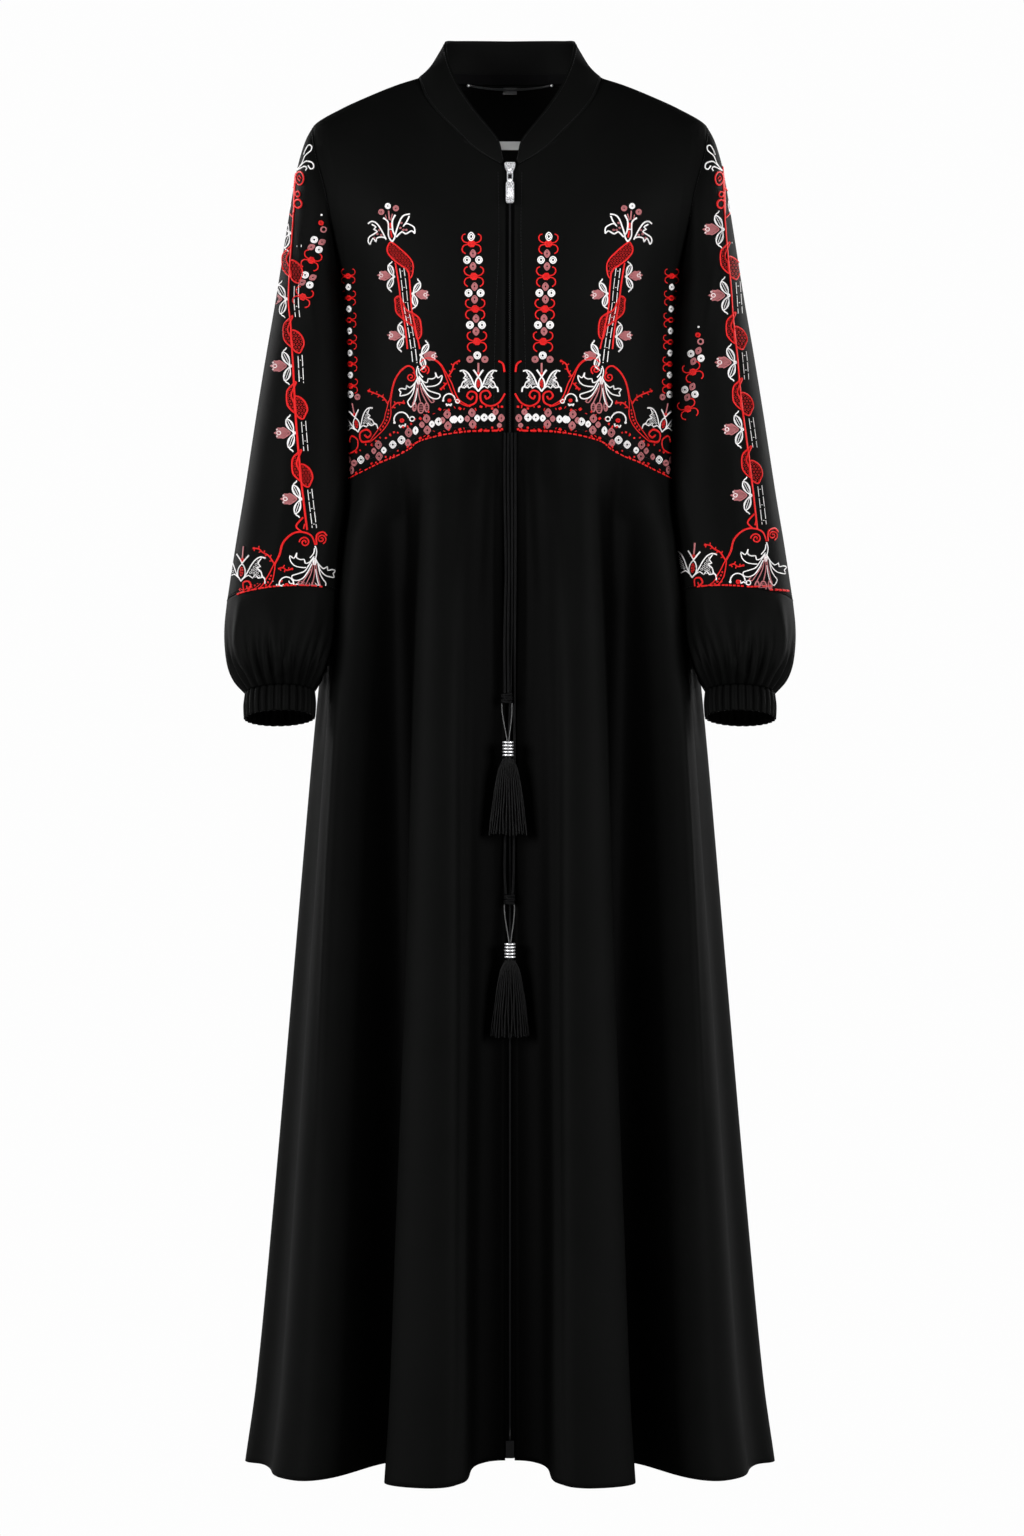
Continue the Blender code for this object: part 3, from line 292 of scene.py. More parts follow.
def braid_group():
    """Two crossing sets of slanting yarns, as on a round braid or a twisted thread."""
    group, start, end = surface_group("braided yarns")
    waves = []
    for turn in (BRAID_SLANT, -BRAID_SLANT):
        lean = group.nodes.new("ShaderNodeVectorRotate")
        lean.rotation_type = "Y_AXIS"
        lean.inputs["Angle"].default_value = turn
        wave = group.nodes.new("ShaderNodeTexWave")
        wave.bands_direction = "Z"
        wave.inputs["Distortion"].default_value = BRAID_UNEVEN
        group.links.new(start.outputs["Vector"], lean.inputs["Vector"])
        group.links.new(lean.outputs["Vector"], wave.inputs["Vector"])
        group.links.new(start.outputs["Scale"], wave.inputs["Scale"])
        waves.append(wave)
    crossed(group, end, waves, BRAID_LEAST_SHADE)
    return group


braided = braid_group()


def yarn_material(name, colour, group, scale, bump, roughness, specular, uv=None, painted_shade_attribute=None):
    """A material whose colour and surface follow yarns or fibres, mixed towards black by a painted shade
    attribute where one is given.
    """
    made = bpy.data.materials.new(name)
    made.use_nodes = True
    nodes, links = made.node_tree.nodes, made.node_tree.links
    shader = nodes["Principled BSDF"]
    shader.inputs["Roughness"].default_value = roughness
    shader.inputs["Specular IOR Level"].default_value = specular
    place = nodes.new("ShaderNodeUVMap" if uv else "ShaderNodeTexCoord")
    if uv:
        place.uv_map = uv
    yarns = nodes.new("ShaderNodeGroup")
    yarns.node_tree = group
    yarns.inputs["Scale"].default_value = scale
    links.new(place.outputs["UV" if uv else "Object"], yarns.inputs["Vector"])
    # The colour is darkened by the group's shade. This is painted shade in the grooves of braids and tapes
    # and between fibres, and on the crepe a random cloud in its tone.
    tint = nodes.new("ShaderNodeMix")
    tint.data_type = "RGBA"
    tint.inputs["A"].default_value = (*[part * GROOVE_SHADE_AND_TONE for part in colour], 1)
    tint.inputs["B"].default_value = (*colour, 1)
    links.new(yarns.outputs["Shade"], tint.inputs["Factor"])
    # Painted shade: the colour is mixed towards black by the piece's painted shade attribute.
    if painted_shade_attribute:
        painted_shade_mask = nodes.new("ShaderNodeAttribute")
        painted_shade_mask.attribute_name = painted_shade_attribute
        shaded = nodes.new("ShaderNodeMix")
        shaded.data_type = "RGBA"
        shaded.inputs["B"].default_value = (0, 0, 0, 1)
        links.new(painted_shade_mask.outputs["Fac"], shaded.inputs["Factor"])
        links.new(tint.outputs["Result"], shaded.inputs["A"])
        tint = shaded
    links.new(tint.outputs["Result"], shader.inputs["Base Color"])
    relief = nodes.new("ShaderNodeBump")
    relief.inputs["Distance"].default_value = bump * MM
    links.new(yarns.outputs["Height"], relief.inputs["Height"])
    links.new(relief.outputs["Normal"], shader.inputs["Normal"])
    return made


BRAID_BLACK = (0.0042, 0.0042, 0.0044)
black_braid = yarn_material(
    "black_braid", BRAID_BLACK, braided, scale=520, bump=0.25, roughness=0.42, specular=0.05
)


def thread_piece(name, routes, radius, material, sides=1, closed=False, body="garment", thickness=None):
    """Cords, wires or threads along points in millimetres, as one piece: thickness scales each route."""
    curve = bpy.data.curves.new(name, "CURVE")
    curve.dimensions = "3D"
    curve.bevel_depth = radius * MM
    curve.bevel_resolution = sides
    curve.use_fill_caps = not closed
    for number, route in enumerate(routes):
        spline = curve.splines.new("POLY")
        spline.points.add(len(route) - 1)
        for point, spot in zip(spline.points, route):
            point.co = (spot[0] * MM, spot[1] * MM, spot[2] * MM, 1)
            point.radius = thickness[number] if thickness else 1
        spline.use_cyclic_u = closed
        spline.use_smooth = True
    curve.materials.append(material)
    piece = bpy.data.objects.new(name, curve)
    bpy.context.scene.collection.objects.link(piece)
    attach(piece, body)
    return piece


cord_routes = {}
for name, rows in CORDS.items():
    steps = round((rows[-1].drop - rows[0].drop) / CORD_STEP)
    route = []
    for step in range(steps + 1):
        drop = rows[0].drop + (rows[-1].drop - rows[0].drop) * step / steps
        x = value_at(rows, "x", drop)
        route.append(Vector((x, cloth_front(x, drop) - value_at(rows, "off", drop), -drop)))
    for _ in range(CORD_SMOOTHINGS):
        ys = [spot.y for spot in route]
        for k in range(1, steps):
            route[k].y = (ys[k - 1] + 2 * ys[k] + ys[k + 1]) / 4
    cord_routes[name] = route

# Knots: each pair of strands ends in a flat knot, wound four times round itself with its turns drawn
# close, 9.5 mm high and about 12 mm wide.
Tassel = namedtuple("Tassel", "knot_x knot_top x off knot_off")
TASSELS = {
    "upper": Tassel(-3.1, 615.5, -1.9, 13.6, 6.9),
    "lower": Tassel(-0.6, 810.9, 0, 12, 4.6),
}
KNOT_HEIGHT = 9.5
KNOT_WRAPS = 4
KNOT_ACROSS = 4.6
KNOT_DEEP = 1.9
KNOT_CORD = 1.2
KNOT_LEAN = 0.3
CORE_ASIDE = 2.4
CORE_SHARES = (0.05, 0.5, 0.95)
TURN_STEPS = 20
for which, place in TASSELS.items():
    knot_y = cloth_front(0, place.knot_top) - place.knot_off
    wraps = []
    for wrap in range(KNOT_WRAPS):
        drop = place.knot_top + KNOT_HEIGHT * (wrap + 0.5) / KNOT_WRAPS
        lean = KNOT_LEAN * (-1) ** wrap
        route = []
        for step in range(TURN_STEPS + 1):
            turn = 2 * pi * step / TURN_STEPS
            across = KNOT_ACROSS * cos(turn)
            route.append((place.knot_x + across, knot_y + KNOT_DEEP * sin(turn), -drop + lean * cos(turn)))
        wraps.append(route)
    for aside in (0, CORE_ASIDE, -CORE_ASIDE):
        x = place.knot_x + aside
        wraps.append([(x, knot_y, -place.knot_top - KNOT_HEIGHT * share) for share in CORE_SHARES])
    thread_piece(f"wound_knot_{which}", wraps, KNOT_CORD, black_braid, sides=3)
    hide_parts(f"cord_knot_{which}")

for name, route in cord_routes.items():
    cord = thread_piece(f"braided_cord_{name}", [route], CORD_RADIUS, black_braid, sides=4)
    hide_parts(f"drawcord_{name}")

# Tassels: below each knot a thin loop runs down through a barrel of five silver rings into the head
# of a black tassel of cut threads, 77 mm long.
LOOP_RADIUS = 0.5
LOOP_LENGTH = 36.5
LOOP_SPREAD = 4.9
LOOP_CLOSE = 0.9
LOOP_STEPS = 14
LOOP_INSIDE = 30
RINGS = 5
RING_PITCH = 3.1
RING_RADIUS = 5.35
RING_WIRE = 0.9
RING_STEPS = 40
WIRE_STEPS = 10
CLEAR = 0.3
TASSEL_FALL = 77
STRANDS = 76
OUTER_STRANDS = 34
STRAND_RADIUS = 0.72
STRAND_STEPS = 8
SPREAD_ACROSS = 18.2
SPREAD_DEEP = 6.6
CORE_RADIUS = 3.9
INNER_REACH = 0.74
INNER_SHORT = 3
OUTER_SHORT = 1
UNEVEN_CUT = 2.5
STRAND_TOP = 1.5
STRAND_SWAY = 0.8
STRAND_WAVES = 2.5
NECK_WIDTH = 0.26
NECK_DEPTH = 0.6
LOOP_BOW = 1.4


def silver_material():
    """Polished zinc with fine scratches and a slightly duller tone where it is handled."""
    made = bpy.data.materials.new("silver_metal")
    made.use_nodes = True
    nodes, links = made.node_tree.nodes, made.node_tree.links
    shader = nodes["Principled BSDF"]
    shader.inputs["Metallic"].default_value = 0.68
    shader.inputs["Base Color"].default_value = (0.82, 0.82, 0.84, 1)
    place = nodes.new("ShaderNodeTexCoord")
    cloud = nodes.new("ShaderNodeTexNoise")
    cloud.inputs["Scale"].default_value = 700
    dull = nodes.new("ShaderNodeMapRange")
    dull.inputs["To Min"].default_value = 0.18
    dull.inputs["To Max"].default_value = 0.38
    links.new(place.outputs["Object"], cloud.inputs["Vector"])
    links.new(cloud.outputs["Fac"], dull.inputs["Value"])
    links.new(dull.outputs["Result"], shader.inputs["Roughness"])
    return made


silver_metal = silver_material()


def mesh_piece(name, shape, material, body="garment", smooth_angle=40):
    """Turns a bmesh in millimetres into a piece in metres that rides on a body."""
    bmesh.ops.scale(shape, vec=Vector((MM, MM, MM)), verts=shape.verts)
    mesh = bpy.data.meshes.new(name)
    shape.to_mesh(mesh)
    shape.free()
    mesh.shade_smooth()
    mesh.set_sharp_from_angle(angle=radians(smooth_angle))
    mesh.materials.append(material)
    piece = bpy.data.objects.new(name, mesh)
    bpy.context.scene.collection.objects.link(piece)
    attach(piece, body)
    return piece


def fibre_group():
    """Soft uneven fibres, stretched along Z, as on a bundle of cut threads: the same noise gives the height
    and the shade, so the colour is darker where the fibres lie low, a painted shade between them.
    """
    group, start, end = surface_group("soft fibres")
    stretch = group.nodes.new("ShaderNodeMapping")
    stretch.inputs["Scale"].default_value = (1, 1, 0.12)
    noise = group.nodes.new("ShaderNodeTexNoise")
    noise.inputs["Detail"].default_value = 3
    group.links.new(start.outputs["Vector"], stretch.inputs["Vector"])
    group.links.new(stretch.outputs["Vector"], noise.inputs["Vector"])
    group.links.new(start.outputs["Scale"], noise.inputs["Scale"])
    group.links.new(noise.outputs["Fac"], end.inputs["Height"])
    group.links.new(noise.outputs["Fac"], end.inputs["Shade"])
    return group


soft_fibres = fibre_group()
TASSEL_BLACK = (0.0026, 0.0026, 0.0027)
LOOP_GREY = (0.075, 0.075, 0.076)
tassel_thread = yarn_material(
    "tassel_thread", TASSEL_BLACK, soft_fibres, scale=900, bump=0.2, roughness=0.36, specular=0.045
)
waxed_loop = yarn_material(
    "waxed_loop", LOOP_GREY, braided, scale=900, bump=0.1, roughness=0.35, specular=0.4
)

for which, place in TASSELS.items():
    knot_bottom = place.knot_top + KNOT_HEIGHT
    rings_top = knot_bottom + LOOP_LENGTH
    tassel_top = rings_top + RINGS * RING_PITCH + 2 * CLEAR
    knot_y = cloth_front(0, place.knot_top) - place.knot_off
    hang_y = cloth_front(0, rings_top) - place.off
    slope = (cloth_front(0, tassel_top) - cloth_front(0, tassel_top + TASSEL_FALL)) / TASSEL_FALL

    shape = bmesh.new()
    for ring in range(RINGS):
        wire = bmesh.ops.create_circle(shape, segments=WIRE_STEPS, radius=RING_WIRE)["verts"]
        bmesh.ops.rotate(shape, verts=wire, matrix=Matrix.Rotation(pi / 2, 3, "X"))
        move = Vector((RING_RADIUS - RING_WIRE, 0, -RING_PITCH * (ring + 0.5)))
        bmesh.ops.translate(shape, verts=wire, vec=move)
        edges = list({edge for corner in wire for edge in corner.link_edges})
        bmesh.ops.spin(
            shape,
            geom=wire + edges,
            axis=(0, 0, 1),
            cent=(0, 0, 0),
            steps=RING_STEPS,
            angle=2 * pi,
            use_merge=True,
        )
    bmesh.ops.recalc_face_normals(shape, faces=shape.faces)
    bmesh.ops.translate(shape, verts=shape.verts, vec=Vector((place.x, hang_y, -rings_top)))
    rings = mesh_piece(f"silver_rings_{which}", shape, silver_metal)
    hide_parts(f"tassel_rings_{which}")

    strands = []
    for number in range(STRANDS):
        outer = number < OUTER_STRANDS
        turn = 2 * pi * number / OUTER_STRANDS if outer else number * pi * (3 - 5**0.5)
        reach = 1 if outer else INNER_REACH * ((number - OUTER_STRANDS) / (STRANDS - OUTER_STRANDS)) ** 0.5
        length = TASSEL_FALL - (OUTER_SHORT if outer else INNER_SHORT) - UNEVEN_CUT * chance.random()
        sway, phase = STRAND_SWAY * chance.random(), 2 * pi * chance.random()
        strand = []
        for step in range(STRAND_STEPS + 1):
            t = step / STRAND_STEPS
            down = STRAND_TOP + (length - STRAND_TOP) * t
            open_out = NECK_WIDTH + (1 - NECK_WIDTH) * t**0.55
            wave = sway * t * sin(STRAND_WAVES * pi * t + phase)
            x = reach * cos(turn) * SPREAD_ACROSS * open_out + wave
            y = reach * sin(turn) * SPREAD_DEEP * (NECK_DEPTH + (1 - NECK_DEPTH) * t) + wave * 0.4
            strand.append((place.x + x, hang_y + y - slope * down, -tassel_top - down))
        strands.append(strand)
    core = [Vector((place.x, hang_y, -rings_top - 0.4)), Vector((place.x, hang_y, -tassel_top - 3))]
    thick = [1] * STRANDS + [CORE_RADIUS / STRAND_RADIUS]
    tassel = thread_piece(
        f"thread_tassel_{which}", strands + [core], STRAND_RADIUS, tassel_thread, sides=1, thickness=thick
    )
    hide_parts(f"tassel_{which}")

    for side, way in (("a", -1), ("b", 1)):
        start = Vector((place.knot_x + way * LOOP_SPREAD, knot_y, -knot_bottom - CLEAR))
        end = Vector((place.x + way * LOOP_CLOSE, hang_y, CLEAR - rings_top))
        route = []
        for step in range(LOOP_STEPS + 1):
            t = step / LOOP_STEPS
            spot = start.lerp(end, t)
            spot.x += way * LOOP_BOW * sin(pi * t) * (1 - t)
            route.append(spot)
        inside = rings_top + RINGS * RING_PITCH + LOOP_INSIDE
        for step in range(1, 5):
            drop = rings_top + (inside - rings_top) * step / 4
            lean = max(0, drop - tassel_top) * slope
            route.append(Vector((place.x + way * LOOP_CLOSE, hang_y - lean, -drop)))
        loop = thread_piece(f"thin_loop_{which}_{side}", [route], LOOP_RADIUS, waxed_loop, sides=2)
        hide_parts(f"tassel_loop_{which}_{side}")

# Skirt: three flared panels of soft black crepe, two at the front and one at the back, set onto the
# yoke seam and falling in deep uneven folds to a narrow turned hem.
Section = namedtuple("Section", "drop half_width front back roundness")
BODY = [
    Section(-2, 91, 4, 57, 2.4),
    Section(5, 113, 11, 64, 2.4),
    Section(16, 140, 23, 73, 2.4),
    Section(30, 170, 36, 82, 2.4),
    Section(46, 196, 49, 91, 2.4),
    Section(70, 206, 68, 101, 2.4),
    Section(100, 204, 87, 108, 2.4),
    Section(130, 197, 101, 113, 2.4),
    Section(165, 184, 112, 115, 2.4),
    Section(207, 170, 120, 114, 2.4),
    Section(250, 166.5, 123, 109, 2.4),
    Section(300, 166.5, 122, 106, 2.4),
    Section(351, 166.5, 120, 106, 2.4),
    Section(408, 166.5, 121, 110, 2.4),
    Section(540, 181, 131, 122, 2.35),
    Section(660, 192.5, 141, 132, 2.3),
    Section(900, 212, 156, 148, 2.2),
    Section(1140, 232, 168, 163, 2.15),
    Section(1300, 247, 175, 172, 2.1),
    Section(1380, 258, 178, 176, 2.1),
]
Seam = namedtuple("Seam", "x drop")
YOKE_SEAM = [
    Seam(0, 360),
    Seam(56, 361.6),
    Seam(75, 364.5),
    Seam(90, 370),
    Seam(101, 377),
    Seam(121, 386),
    Seam(143, 394.5),
    Seam(159, 401.5),
    Seam(167, 408),
]
Fold = namedtuple("Fold", "column waist hem rise hem_drop roll")
FOLDS = [
    Fold(0, 0, 0, -32, 1358, 0.2),
    Fold(5, 0.108, 0.09, 26, 1377, 0.34),
    Fold(10, 0.235, 0.15, -62, 1366, 0.05),
    Fold(15, 0.346, 0.275, 16, 1380, 0.1),
    Fold(19, 0.43, 0.415, -8, 1378, 0.1),
    Fold(22, 0.5, 0.5, 6, 1380, 0.2),
    Fold(26, 0.57, 0.585, -42, 1371, 0.25),
    Fold(30, 0.66, 0.665, 20, 1380, 0.25),
    Fold(35, 0.77, 0.765, -52, 1370, 0.25),
    Fold(40, 0.885, 0.88, 22, 1380, 0.2),
    Fold(44, 1, 1, -24, 1372, 0),
]
FOLD_START = 0.5
FOLD_DRIFT = 0.8
SEAM_HOLD = 0.06
SIDE_COLUMN = 22
BACK_COLUMN = 44
SKIRT_FINENESS = 5
SKIRT_ROWS = 210
BACK_FINENESS = 4
BACK_ROWS = 180
ROWS_EASE = 1.08
CREASE_TAPER = 0.7
WELD = 0.001
CLOTH_WALL = 0.8


def body_turn(x, drop):
    """The angle round the body, from the centre front, at which the section has this x."""
    half_width = value_at(BODY, "half_width", drop)
    roundness = value_at(BODY, "roundness", drop)
    return np.arcsin(np.minimum(1.0, (np.abs(x) / half_width) ** (roundness / 2)))


def body_point(turn, drop):
    """Points of the smooth body form: turn 0 is the centre front, pi the centre back."""
    turn, drop = np.broadcast_arrays(np.asarray(turn, float), np.asarray(drop, float))
    power = 2 / value_at(BODY, "roundness", drop)
    front = turn <= pi / 2 + 1e-9
    depth = np.where(front, -value_at(BODY, "front", drop), value_at(BODY, "back", drop))
    x = value_at(BODY, "half_width", drop) * np.abs(np.sin(turn)) ** power
    y = depth * np.abs(np.cos(turn)) ** power
    return np.stack([x, y, -drop], axis=-1)


def level_facing(turn, drop):
    """The level outward direction of the body form, from the gradient of its section."""
    roundness = value_at(BODY, "roundness", drop)
    front = turn <= pi / 2 + 1e-9
    depth = np.where(front, value_at(BODY, "front", drop), value_at(BODY, "back", drop))
    power = 2 - 2 / roundness
    x = np.abs(np.sin(turn)) ** power / value_at(BODY, "half_width", drop)
    y = np.where(front, -1, 1) * np.abs(np.cos(turn)) ** power / depth
    length = np.sqrt(x**2 + y**2)
    return x / length, y / length


def yoke_edge(column):
    """Turn and drop of the yoke seam at skirt columns, from the zip's edge to the centre back."""
    columns = [fold.column for fold in FOLDS]
    turn = pi * np.interp(column, columns, [fold.waist for fold in FOLDS])
    drop = np.full_like(turn, YOKE_SEAM[0].drop)
    for _ in YOKE_SEAM:
        x = np.minimum(np.abs(body_point(turn, drop)[..., 0]), YOKE_SEAM[-1].x)
        drop = value_at(YOKE_SEAM, "drop", x)
    edge = body_turn(FRONT_OPENING, YOKE_SEAM[0].drop)
    beside = np.maximum(0, 1 - np.asarray(column, float) / 2)
    return turn + edge * beside, drop


def skirt_points(column, v):
    """Points of the skirt: column runs round from the centre front, v from yoke seam to hem."""
    column, v = np.broadcast_arrays(np.asarray(column, float), np.asarray(v, float))
    columns = np.array([fold.column for fold in FOLDS])
    low = np.clip(np.searchsorted(columns, column, side="right") - 1, 0, len(FOLDS) - 2)
    t = (column - columns[low]) / (columns[low + 1] - columns[low])

    def either_side(field):
        """A field's values at the folds before and after each column."""
        values = np.array([getattr(fold, field) for fold in FOLDS], float)
        return values[low], values[low + 1]

    ease = v**FOLD_DRIFT
    swing = (1 - np.cos(pi * t)) / 2
    (waist, waist_after), (hem, hem_after) = either_side("waist"), either_side("hem")
    before, after = waist + (hem - waist) * ease, waist_after + (hem_after - waist_after) * ease
    turn = pi * (before + (after - before) * t)
    hem_drop, hem_drop_after = either_side("hem_drop")
    hem_drop = hem_drop + (hem_drop_after - hem_drop) * swing
    top = body_point(*yoke_edge(column))
    drop = -top[..., 2] + (hem_drop + top[..., 2]) * v
    spot = body_point(turn, drop)
    out_x, out_y = level_facing(turn, drop)
    rise, rise_after = either_side("rise")
    grow = v**FOLD_START
    roll = either_side("roll")[0] * np.abs(rise_after - rise) * np.sin(2 * pi * t) * grow * ease
    rise = (rise + (rise_after - rise) * swing) * grow
    spot[..., 0] += out_x * rise - out_y * roll
    spot[..., 1] += out_y * rise + out_x * roll
    spot[..., 0] += FRONT_OPENING * np.maximum(0, 1 - column)
    near_seam = np.maximum(0, 1 - v / SEAM_HOLD)[..., None]
    held = np.concatenate([top[..., :2], spot[..., 2:]], axis=-1)
    return spot + (held - spot) * near_seam


def mirrored(points):
    """The same points on the other side of the garment."""
    return points * np.array([-1, 1, 1])


def both_sides(points):
    """One half of a piece, from the centre out, joined to its mirror image as one grid."""
    return np.concatenate([mirrored(points[:, :0:-1]), points], axis=1)


def steps_of(points, axis):
    """How far each point lies along its row or column, in millimetres."""
    lengths = np.linalg.norm(np.diff(points, axis=axis), axis=-1)
    return np.insert(np.cumsum(lengths, axis=axis), 0, 0, axis=axis)


def outward(points, closed=False):
    """Unit normals of a grid of points, from rows down and columns across."""
    down = np.gradient(points, axis=0)
    if closed:
        ring = points[:, :-1]
        across = np.roll(ring, -1, axis=1) - np.roll(ring, 1, axis=1)
        across = np.concatenate([across, across[:, :1]], axis=1)
    else:
        across = np.gradient(points, axis=1)
    normal = np.cross(down, across)
    return normal / np.maximum(np.linalg.norm(normal, axis=-1, keepdims=True), 1e-9)


Crease = namedtuple("Crease", "u1 v1 u2 v2 width depth bend")


def creased(points, creases, closed=False):
    """Presses soft troughs, or ridges where the depth is over 0, into a grid along its normals."""
    rows, columns = points.shape[0] - 1, points.shape[1] - 1
    width = steps_of(points, 1)[:, -1]
    height = steps_of(points, 0)[-1].mean()
    v, u = np.mgrid[0 : rows + 1, 0 : columns + 1]
    v, u = v / rows, u / columns
    shares = np.linspace(0, 1, rows + 1)
    normal = outward(points, closed)
    out = points.copy()
    for crease in creases:
        start_wide, end_wide = np.interp((crease.v1, crease.v2), shares, width)
        start = np.array([(crease.u1 - 0.5) * start_wide, crease.v1 * height])
        end = np.array([(crease.u2 - 0.5) * end_wide, crease.v2 * height])
        x, y = (u - 0.5) * width[:, None] - start[0], v * height - start[1]
        run = end - start
        length = np.hypot(*run)
        along = (x * run[0] + y * run[1]) / length**2
        aside = (x * run[1] - y * run[0]) / length
        inside = np.clip(along, 0, 1)
        aside = aside - crease.bend * 4 * inside * (1 - inside)
        taper = np.where((along > 0) & (along < 1), np.sin(pi * inside) ** CREASE_TAPER, 0)
        press = crease.depth * taper * np.exp(-((aside / crease.width) ** 2))
        out += normal * press[..., None]
    return out


def crepe_group():
    """Crepe: a fine pebbled face of twisted yarns, with a slow cloud in its shade."""
    group, start, end = surface_group("crepe weave")
    pebble = group.nodes.new("ShaderNodeTexNoise")
    pebble.inputs["Detail"].default_value = 2
    cloud = group.nodes.new("ShaderNodeTexNoise")
    cloud.inputs["Scale"].default_value = 14
    cloud.inputs["Detail"].default_value = 2
    group.links.new(start.outputs["Vector"], pebble.inputs["Vector"])
    group.links.new(start.outputs["Vector"], cloud.inputs["Vector"])
    group.links.new(start.outputs["Scale"], pebble.inputs["Scale"])
    shade = group.nodes.new("ShaderNodeMapRange")
    shade.inputs["From Min"].default_value = 0.3
    shade.inputs["From Max"].default_value = 0.7
    shade.inputs["To Min"].default_value = 0.75
    group.links.new(cloud.outputs["Fac"], shade.inputs["Value"])
    group.links.new(pebble.outputs["Fac"], end.inputs["Height"])
    group.links.new(shade.outputs["Result"], end.inputs["Shade"])
    return group


crepe_weave = crepe_group()
CREPE_BLACK = (0.0023, 0.0024, 0.0023)
# Black crepe. Its colour is darkened by painted shade in the skirt's fold valleys and between the gathers
# and ribs of the puffs and cuffs.
black_crepe = yarn_material(
    "black_crepe",
    CREPE_BLACK,
    crepe_weave,
    scale=1400,
    bump=0.12,
    roughness=0.6,
    specular=0.02,
    uv="weave",
    painted_shade_attribute="painted_shade",
)

outside = {}


def facing_out(points, normals):
    """Whether a grid's normal at its middle points away from the piece's own axis."""
    r, c = (points.shape[0] - 1) // 2, (points.shape[1] - 1) // 2
    axis = points[r].mean(axis=0)
    if np.linalg.norm(points[r, c] - axis) < 1:
        axis = np.zeros(3)
    away = (points[r, c] - axis)[:2]
    return float(np.dot(away, normals[r, c][:2])) >= 0


def cloth_shell(name, points, closed=False, wall=CLOTH_WALL, painted_shade=None):
    """A thin shell of cloth on a grid of outer points, with its weave laid out in metres."""
    rows, columns = points.shape[0] - 1, points.shape[1] - 1
    across, down = steps_of(points, 1) * MM, steps_of(points, 0) * MM
    normals = outward(points, closed)
    middle = Vector(normals[rows // 2, columns // 2])
    shape = bmesh.new()
    place = shape.verts.layers.int.new("place")
    # Each corner keeps its painted shade, which the crepe turns into darker colour.
    painted_shade_mask = shape.verts.layers.float.new("painted_shade")
    weave = shape.loops.layers.uv.new("weave")
    for corner in bmesh.ops.create_grid(shape, x_segments=columns, y_segments=rows, size=1)["verts"]:
        c = round((corner.co.x + 1) / 2 * columns)
        r = round((corner.co.y + 1) / 2 * rows)
        corner[place] = r * (columns + 1) + c
        corner[painted_shade_mask] = 0 if painted_shade is None else painted_shade[r, c]
        corner.co = points[r, c]
    for face in shape.faces:
        for loop in face.loops:
            r, c = divmod(loop.vert[place], columns + 1)
            loop[weave].uv = (across[r, c], -down[r, c])
    if closed:
        bmesh.ops.remove_doubles(shape, verts=shape.verts, dist=WELD)
    shape.normal_update()
    target = (rows // 2) * (columns + 1) + columns // 2
    found = next(corner for corner in shape.verts if corner[place] == target)
    if (found.normal.dot(middle) >= 0) != facing_out(points, normals):
        bmesh.ops.reverse_faces(shape, faces=shape.faces)
    shape.verts.layers.int.remove(place)
    outside[name] = BVHTree.FromBMesh(shape)
    piece = mesh_piece(f"{name}_cloth", shape, black_crepe, smooth_angle=180)
    thickness = piece.modifiers.new("wall", "SOLIDIFY")
    thickness.thickness = wall * MM
    thickness.offset = -1
    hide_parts(name)
    return piece


def front_pair(name, points, painted_shade=None):
    """A front panel on the wearer's left, and its mirror image on the right."""
    cloth_shell(f"{name}_left", points, painted_shade=painted_shade)
    cloth_shell(f"{name}_right", mirrored(points), painted_shade=painted_shade)


def grid_of(first, last, fineness, rows):
    """Columns and shares of the way down for a skirt panel's grid."""
    column = np.linspace(first, last, (last - first) * fineness + 1)
    v = np.linspace(0, 1, rows + 1) ** ROWS_EASE
    return column[None, :], v[:, None]


# Painted shade in the fold valleys: for each skirt column, how strongly the crepe's colour is darkened. It
# is full in the deepest valleys and beside the zip.
PaintedShadeRow = namedtuple("PaintedShadeRow", "column share")
SKIRT_PAINTED_SHADE = [
    PaintedShadeRow(0, 0.95),
    PaintedShadeRow(1, 0.85),
    PaintedShadeRow(2, 0.75),
    PaintedShadeRow(2.9, 0.6),
    PaintedShadeRow(3.8, 0),
    PaintedShadeRow(6.4, 0),
    PaintedShadeRow(6.9, 0.9),
    PaintedShadeRow(10, 1),
    PaintedShadeRow(11.5, 0.75),
    PaintedShadeRow(13, 0.15),
    PaintedShadeRow(15, 0),
    PaintedShadeRow(19, 0.1),
    PaintedShadeRow(22, 0),
    PaintedShadeRow(24.5, 0.6),
    PaintedShadeRow(26, 1),
    PaintedShadeRow(28, 0.5),
    PaintedShadeRow(30, 0),
    PaintedShadeRow(33, 0.6),
    PaintedShadeRow(35, 1),
    PaintedShadeRow(37, 0.6),
    PaintedShadeRow(39.5, 0),
    PaintedShadeRow(42, 0.3),
    PaintedShadeRow(44, 0.6),
]
PAINTED_SHADE_FULL_FROM = 0.14
PAINTED_SHADE_LEAST = 0.45


def skirt_painted_shade(column, v):
    """How much painted shade the cloth gets in the valleys of its folds, from 0 to 1, weaker near the yoke
    seam.
    """
    share = np.interp(column, [row.column for row in SKIRT_PAINTED_SHADE], [row.share for row in SKIRT_PAINTED_SHADE])
    return share * (PAINTED_SHADE_LEAST + (1 - PAINTED_SHADE_LEAST) * np.minimum(1, v / PAINTED_SHADE_FULL_FROM))


